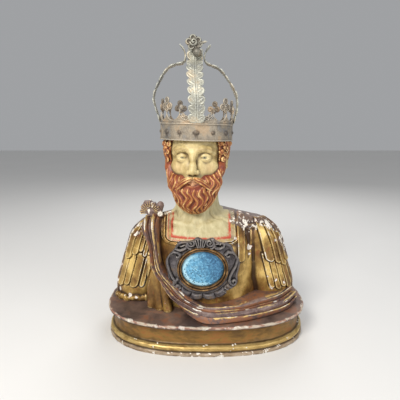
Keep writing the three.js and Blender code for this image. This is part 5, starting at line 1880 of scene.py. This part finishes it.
# Two finishes of the crown's silver: its tones, its warm stain, its worn edges and the range of the painted
# shade in its hollows
BROWN_SILVER = ([(0.15, 0.12, 0.085), (0.30, 0.25, 0.19), (0.45, 0.39, 0.30), (0.62, 0.55, 0.45)],
                (0.50, 0.29, 0.12), (0.56, 0.50, 0.40), (-0.5, 0.0))
PALE_SILVER = ([(0.17, 0.155, 0.12), (0.36, 0.35, 0.29), (0.54, 0.54, 0.46), (0.70, 0.71, 0.64)],
               (0.52, 0.34, 0.15), (0.74, 0.76, 0.68), (-0.42, 0.05))


def tarnished_silver(name, tones, warm, light, shade):
    paint = Paint(name)
    edge, hollow, boss = paint.marked("edge"), paint.marked("hollow"), paint.marked("boss")
    patches, fine = paint.noise(30, 4, 0.62, 0.4), paint.noise(2.4, 4, 0.6)
    colour = paint.coats(
        paint.ramp(patches * 0.55 + fine * 0.45, list(zip((0.34, 0.46, 0.57, 0.7), tones))),
        (warm, patches.between(0.52, 0.64) * 0.42),
        ((0.30, 0.33, 0.36), patches.between(0.46, 0.36) * 0.4),
        # Painted shade in the hollows
        ((0.05, 0.034, 0.022), hollow.broken(fine, 0.3).between(*shade) * 0.85),
        (light, edge.broken(fine, 0.3).between(0.08, 0.36) * (0.6 - 0.45 * boss)),
        # The bosses' own dark colour, with painted shade in the sunk ring round each and beneath it
        ((0.075, 0.055, 0.042), boss * (0.5 + 0.4 * fine)))
    return paint.finish(
        base_color=colour, metallic=0.5 - 0.2 * patches, roughness=0.42 + 0.2 * fine,
        normal=paint.bump(fine, 0.3, 0.7))


# The stage, the lights and the camera: places and sizes in metres, the lens in millimetres
CAMERA_PLACE, CAMERA_AIM = (-0.0138, -0.850, 0.4718), (-0.0138, 0.0, 0.3001)
SENSOR_WIDTH, FOCAL_LENGTH = 36, 33.94
SKY_COLOUR, SKY_STRENGTH = (0.92, 0.94, 0.97, 1), 0.38
# Lights: name, place, aim, size, power and colour
LIGHTS = [("key", (-0.75, -1.3, 1.45), (0, 0, 0.3), 0.7, 33, (1.0, 0.97, 0.92)),
          ("fill", (1.2, -1.1, 0.9), (0, 0, 0.3), 1.0, 9, (0.95, 0.97, 1.0)),
          ("back", (0.3, 1.4, 1.4), (0, 0, 0.4), 1.0, 12, (1, 1, 1))]


def make_stage():
    bpy.ops.object.select_all(action="DESELECT")
    bpy.ops.mesh.primitive_plane_add(size=12, location=(0, 0, 0))
    floor = bpy.context.active_object
    floor.name = "floor"
    paint = Paint("pale_floor")
    grain = paint.noise(400, 3, 0.5)
    colour = paint.blend((0.76, 0.75, 0.73), (0.80, 0.79, 0.77), grain)
    floor.data.materials.append(paint.finish(base_color=colour, roughness=0.7))
    world = bpy.data.worlds.new("studio")
    world.use_nodes = True
    sky = world.node_tree.nodes["Background"]
    sky.inputs["Color"].default_value = SKY_COLOUR
    sky.inputs["Strength"].default_value = SKY_STRENGTH
    bpy.context.scene.world = world
    bpy.context.scene.view_settings.view_transform = "Standard"


def add_light(name, place, aim, size, power, colour):
    light = bpy.data.lights.new(name, "AREA")
    light.size = size
    light.energy = power
    light.color = colour
    lamp = bpy.data.objects.new(name, light)
    lamp.location = place
    lamp.rotation_euler = (Vector(aim) - Vector(place)).to_track_quat("-Z", "Y").to_euler()
    bpy.context.scene.collection.objects.link(lamp)


def make_camera():
    camera = bpy.data.objects.new("camera", bpy.data.cameras.new("camera"))
    camera.location = CAMERA_PLACE
    camera.rotation_euler = (Vector(CAMERA_AIM) - Vector(CAMERA_PLACE)).to_track_quat("-Z", "Y").to_euler()
    camera.data.sensor_width = SENSOR_WIDTH
    camera.data.lens = FOCAL_LENGTH
    bpy.context.scene.collection.objects.link(camera)
    bpy.context.scene.camera = camera


make_camera()
make_stage()
for light in LIGHTS:
    add_light(*light)

dress(make_head(), painted_head(), "bust")
dress(make_torso(), gilded_dress(), "bust")
bronzed = bronzed_mantle()
dress(make_mantle(), bronzed, "bust")
dress(make_knot(), bronzed, "bust")
dress(make_plinth(), gilded_base(), "plinth")
dress(make_frame(), tarnished_leaf(), "cartouche_frame")
dress(make_rim(), dull_gilt(), "window_rim")
dress(make_plate(), speckled_blue(), "window_plate")
dress(make_band(), tarnished_silver("brown_silver", *BROWN_SILVER), "crown_band")
silver = tarnished_silver("pale_silver", *PALE_SILVER)
for seed, (side, turn, bulge, tip) in enumerate(HOOPS, SEEDS["hoops"]):
    hoop = make_hoop(f"leaf_hoop_{side}", math.radians(turn), bulge, tip, seed)
    dress(hoop, silver, f"crown_hoop_{side}")
dress(make_finial(), silver, "crown_finial")
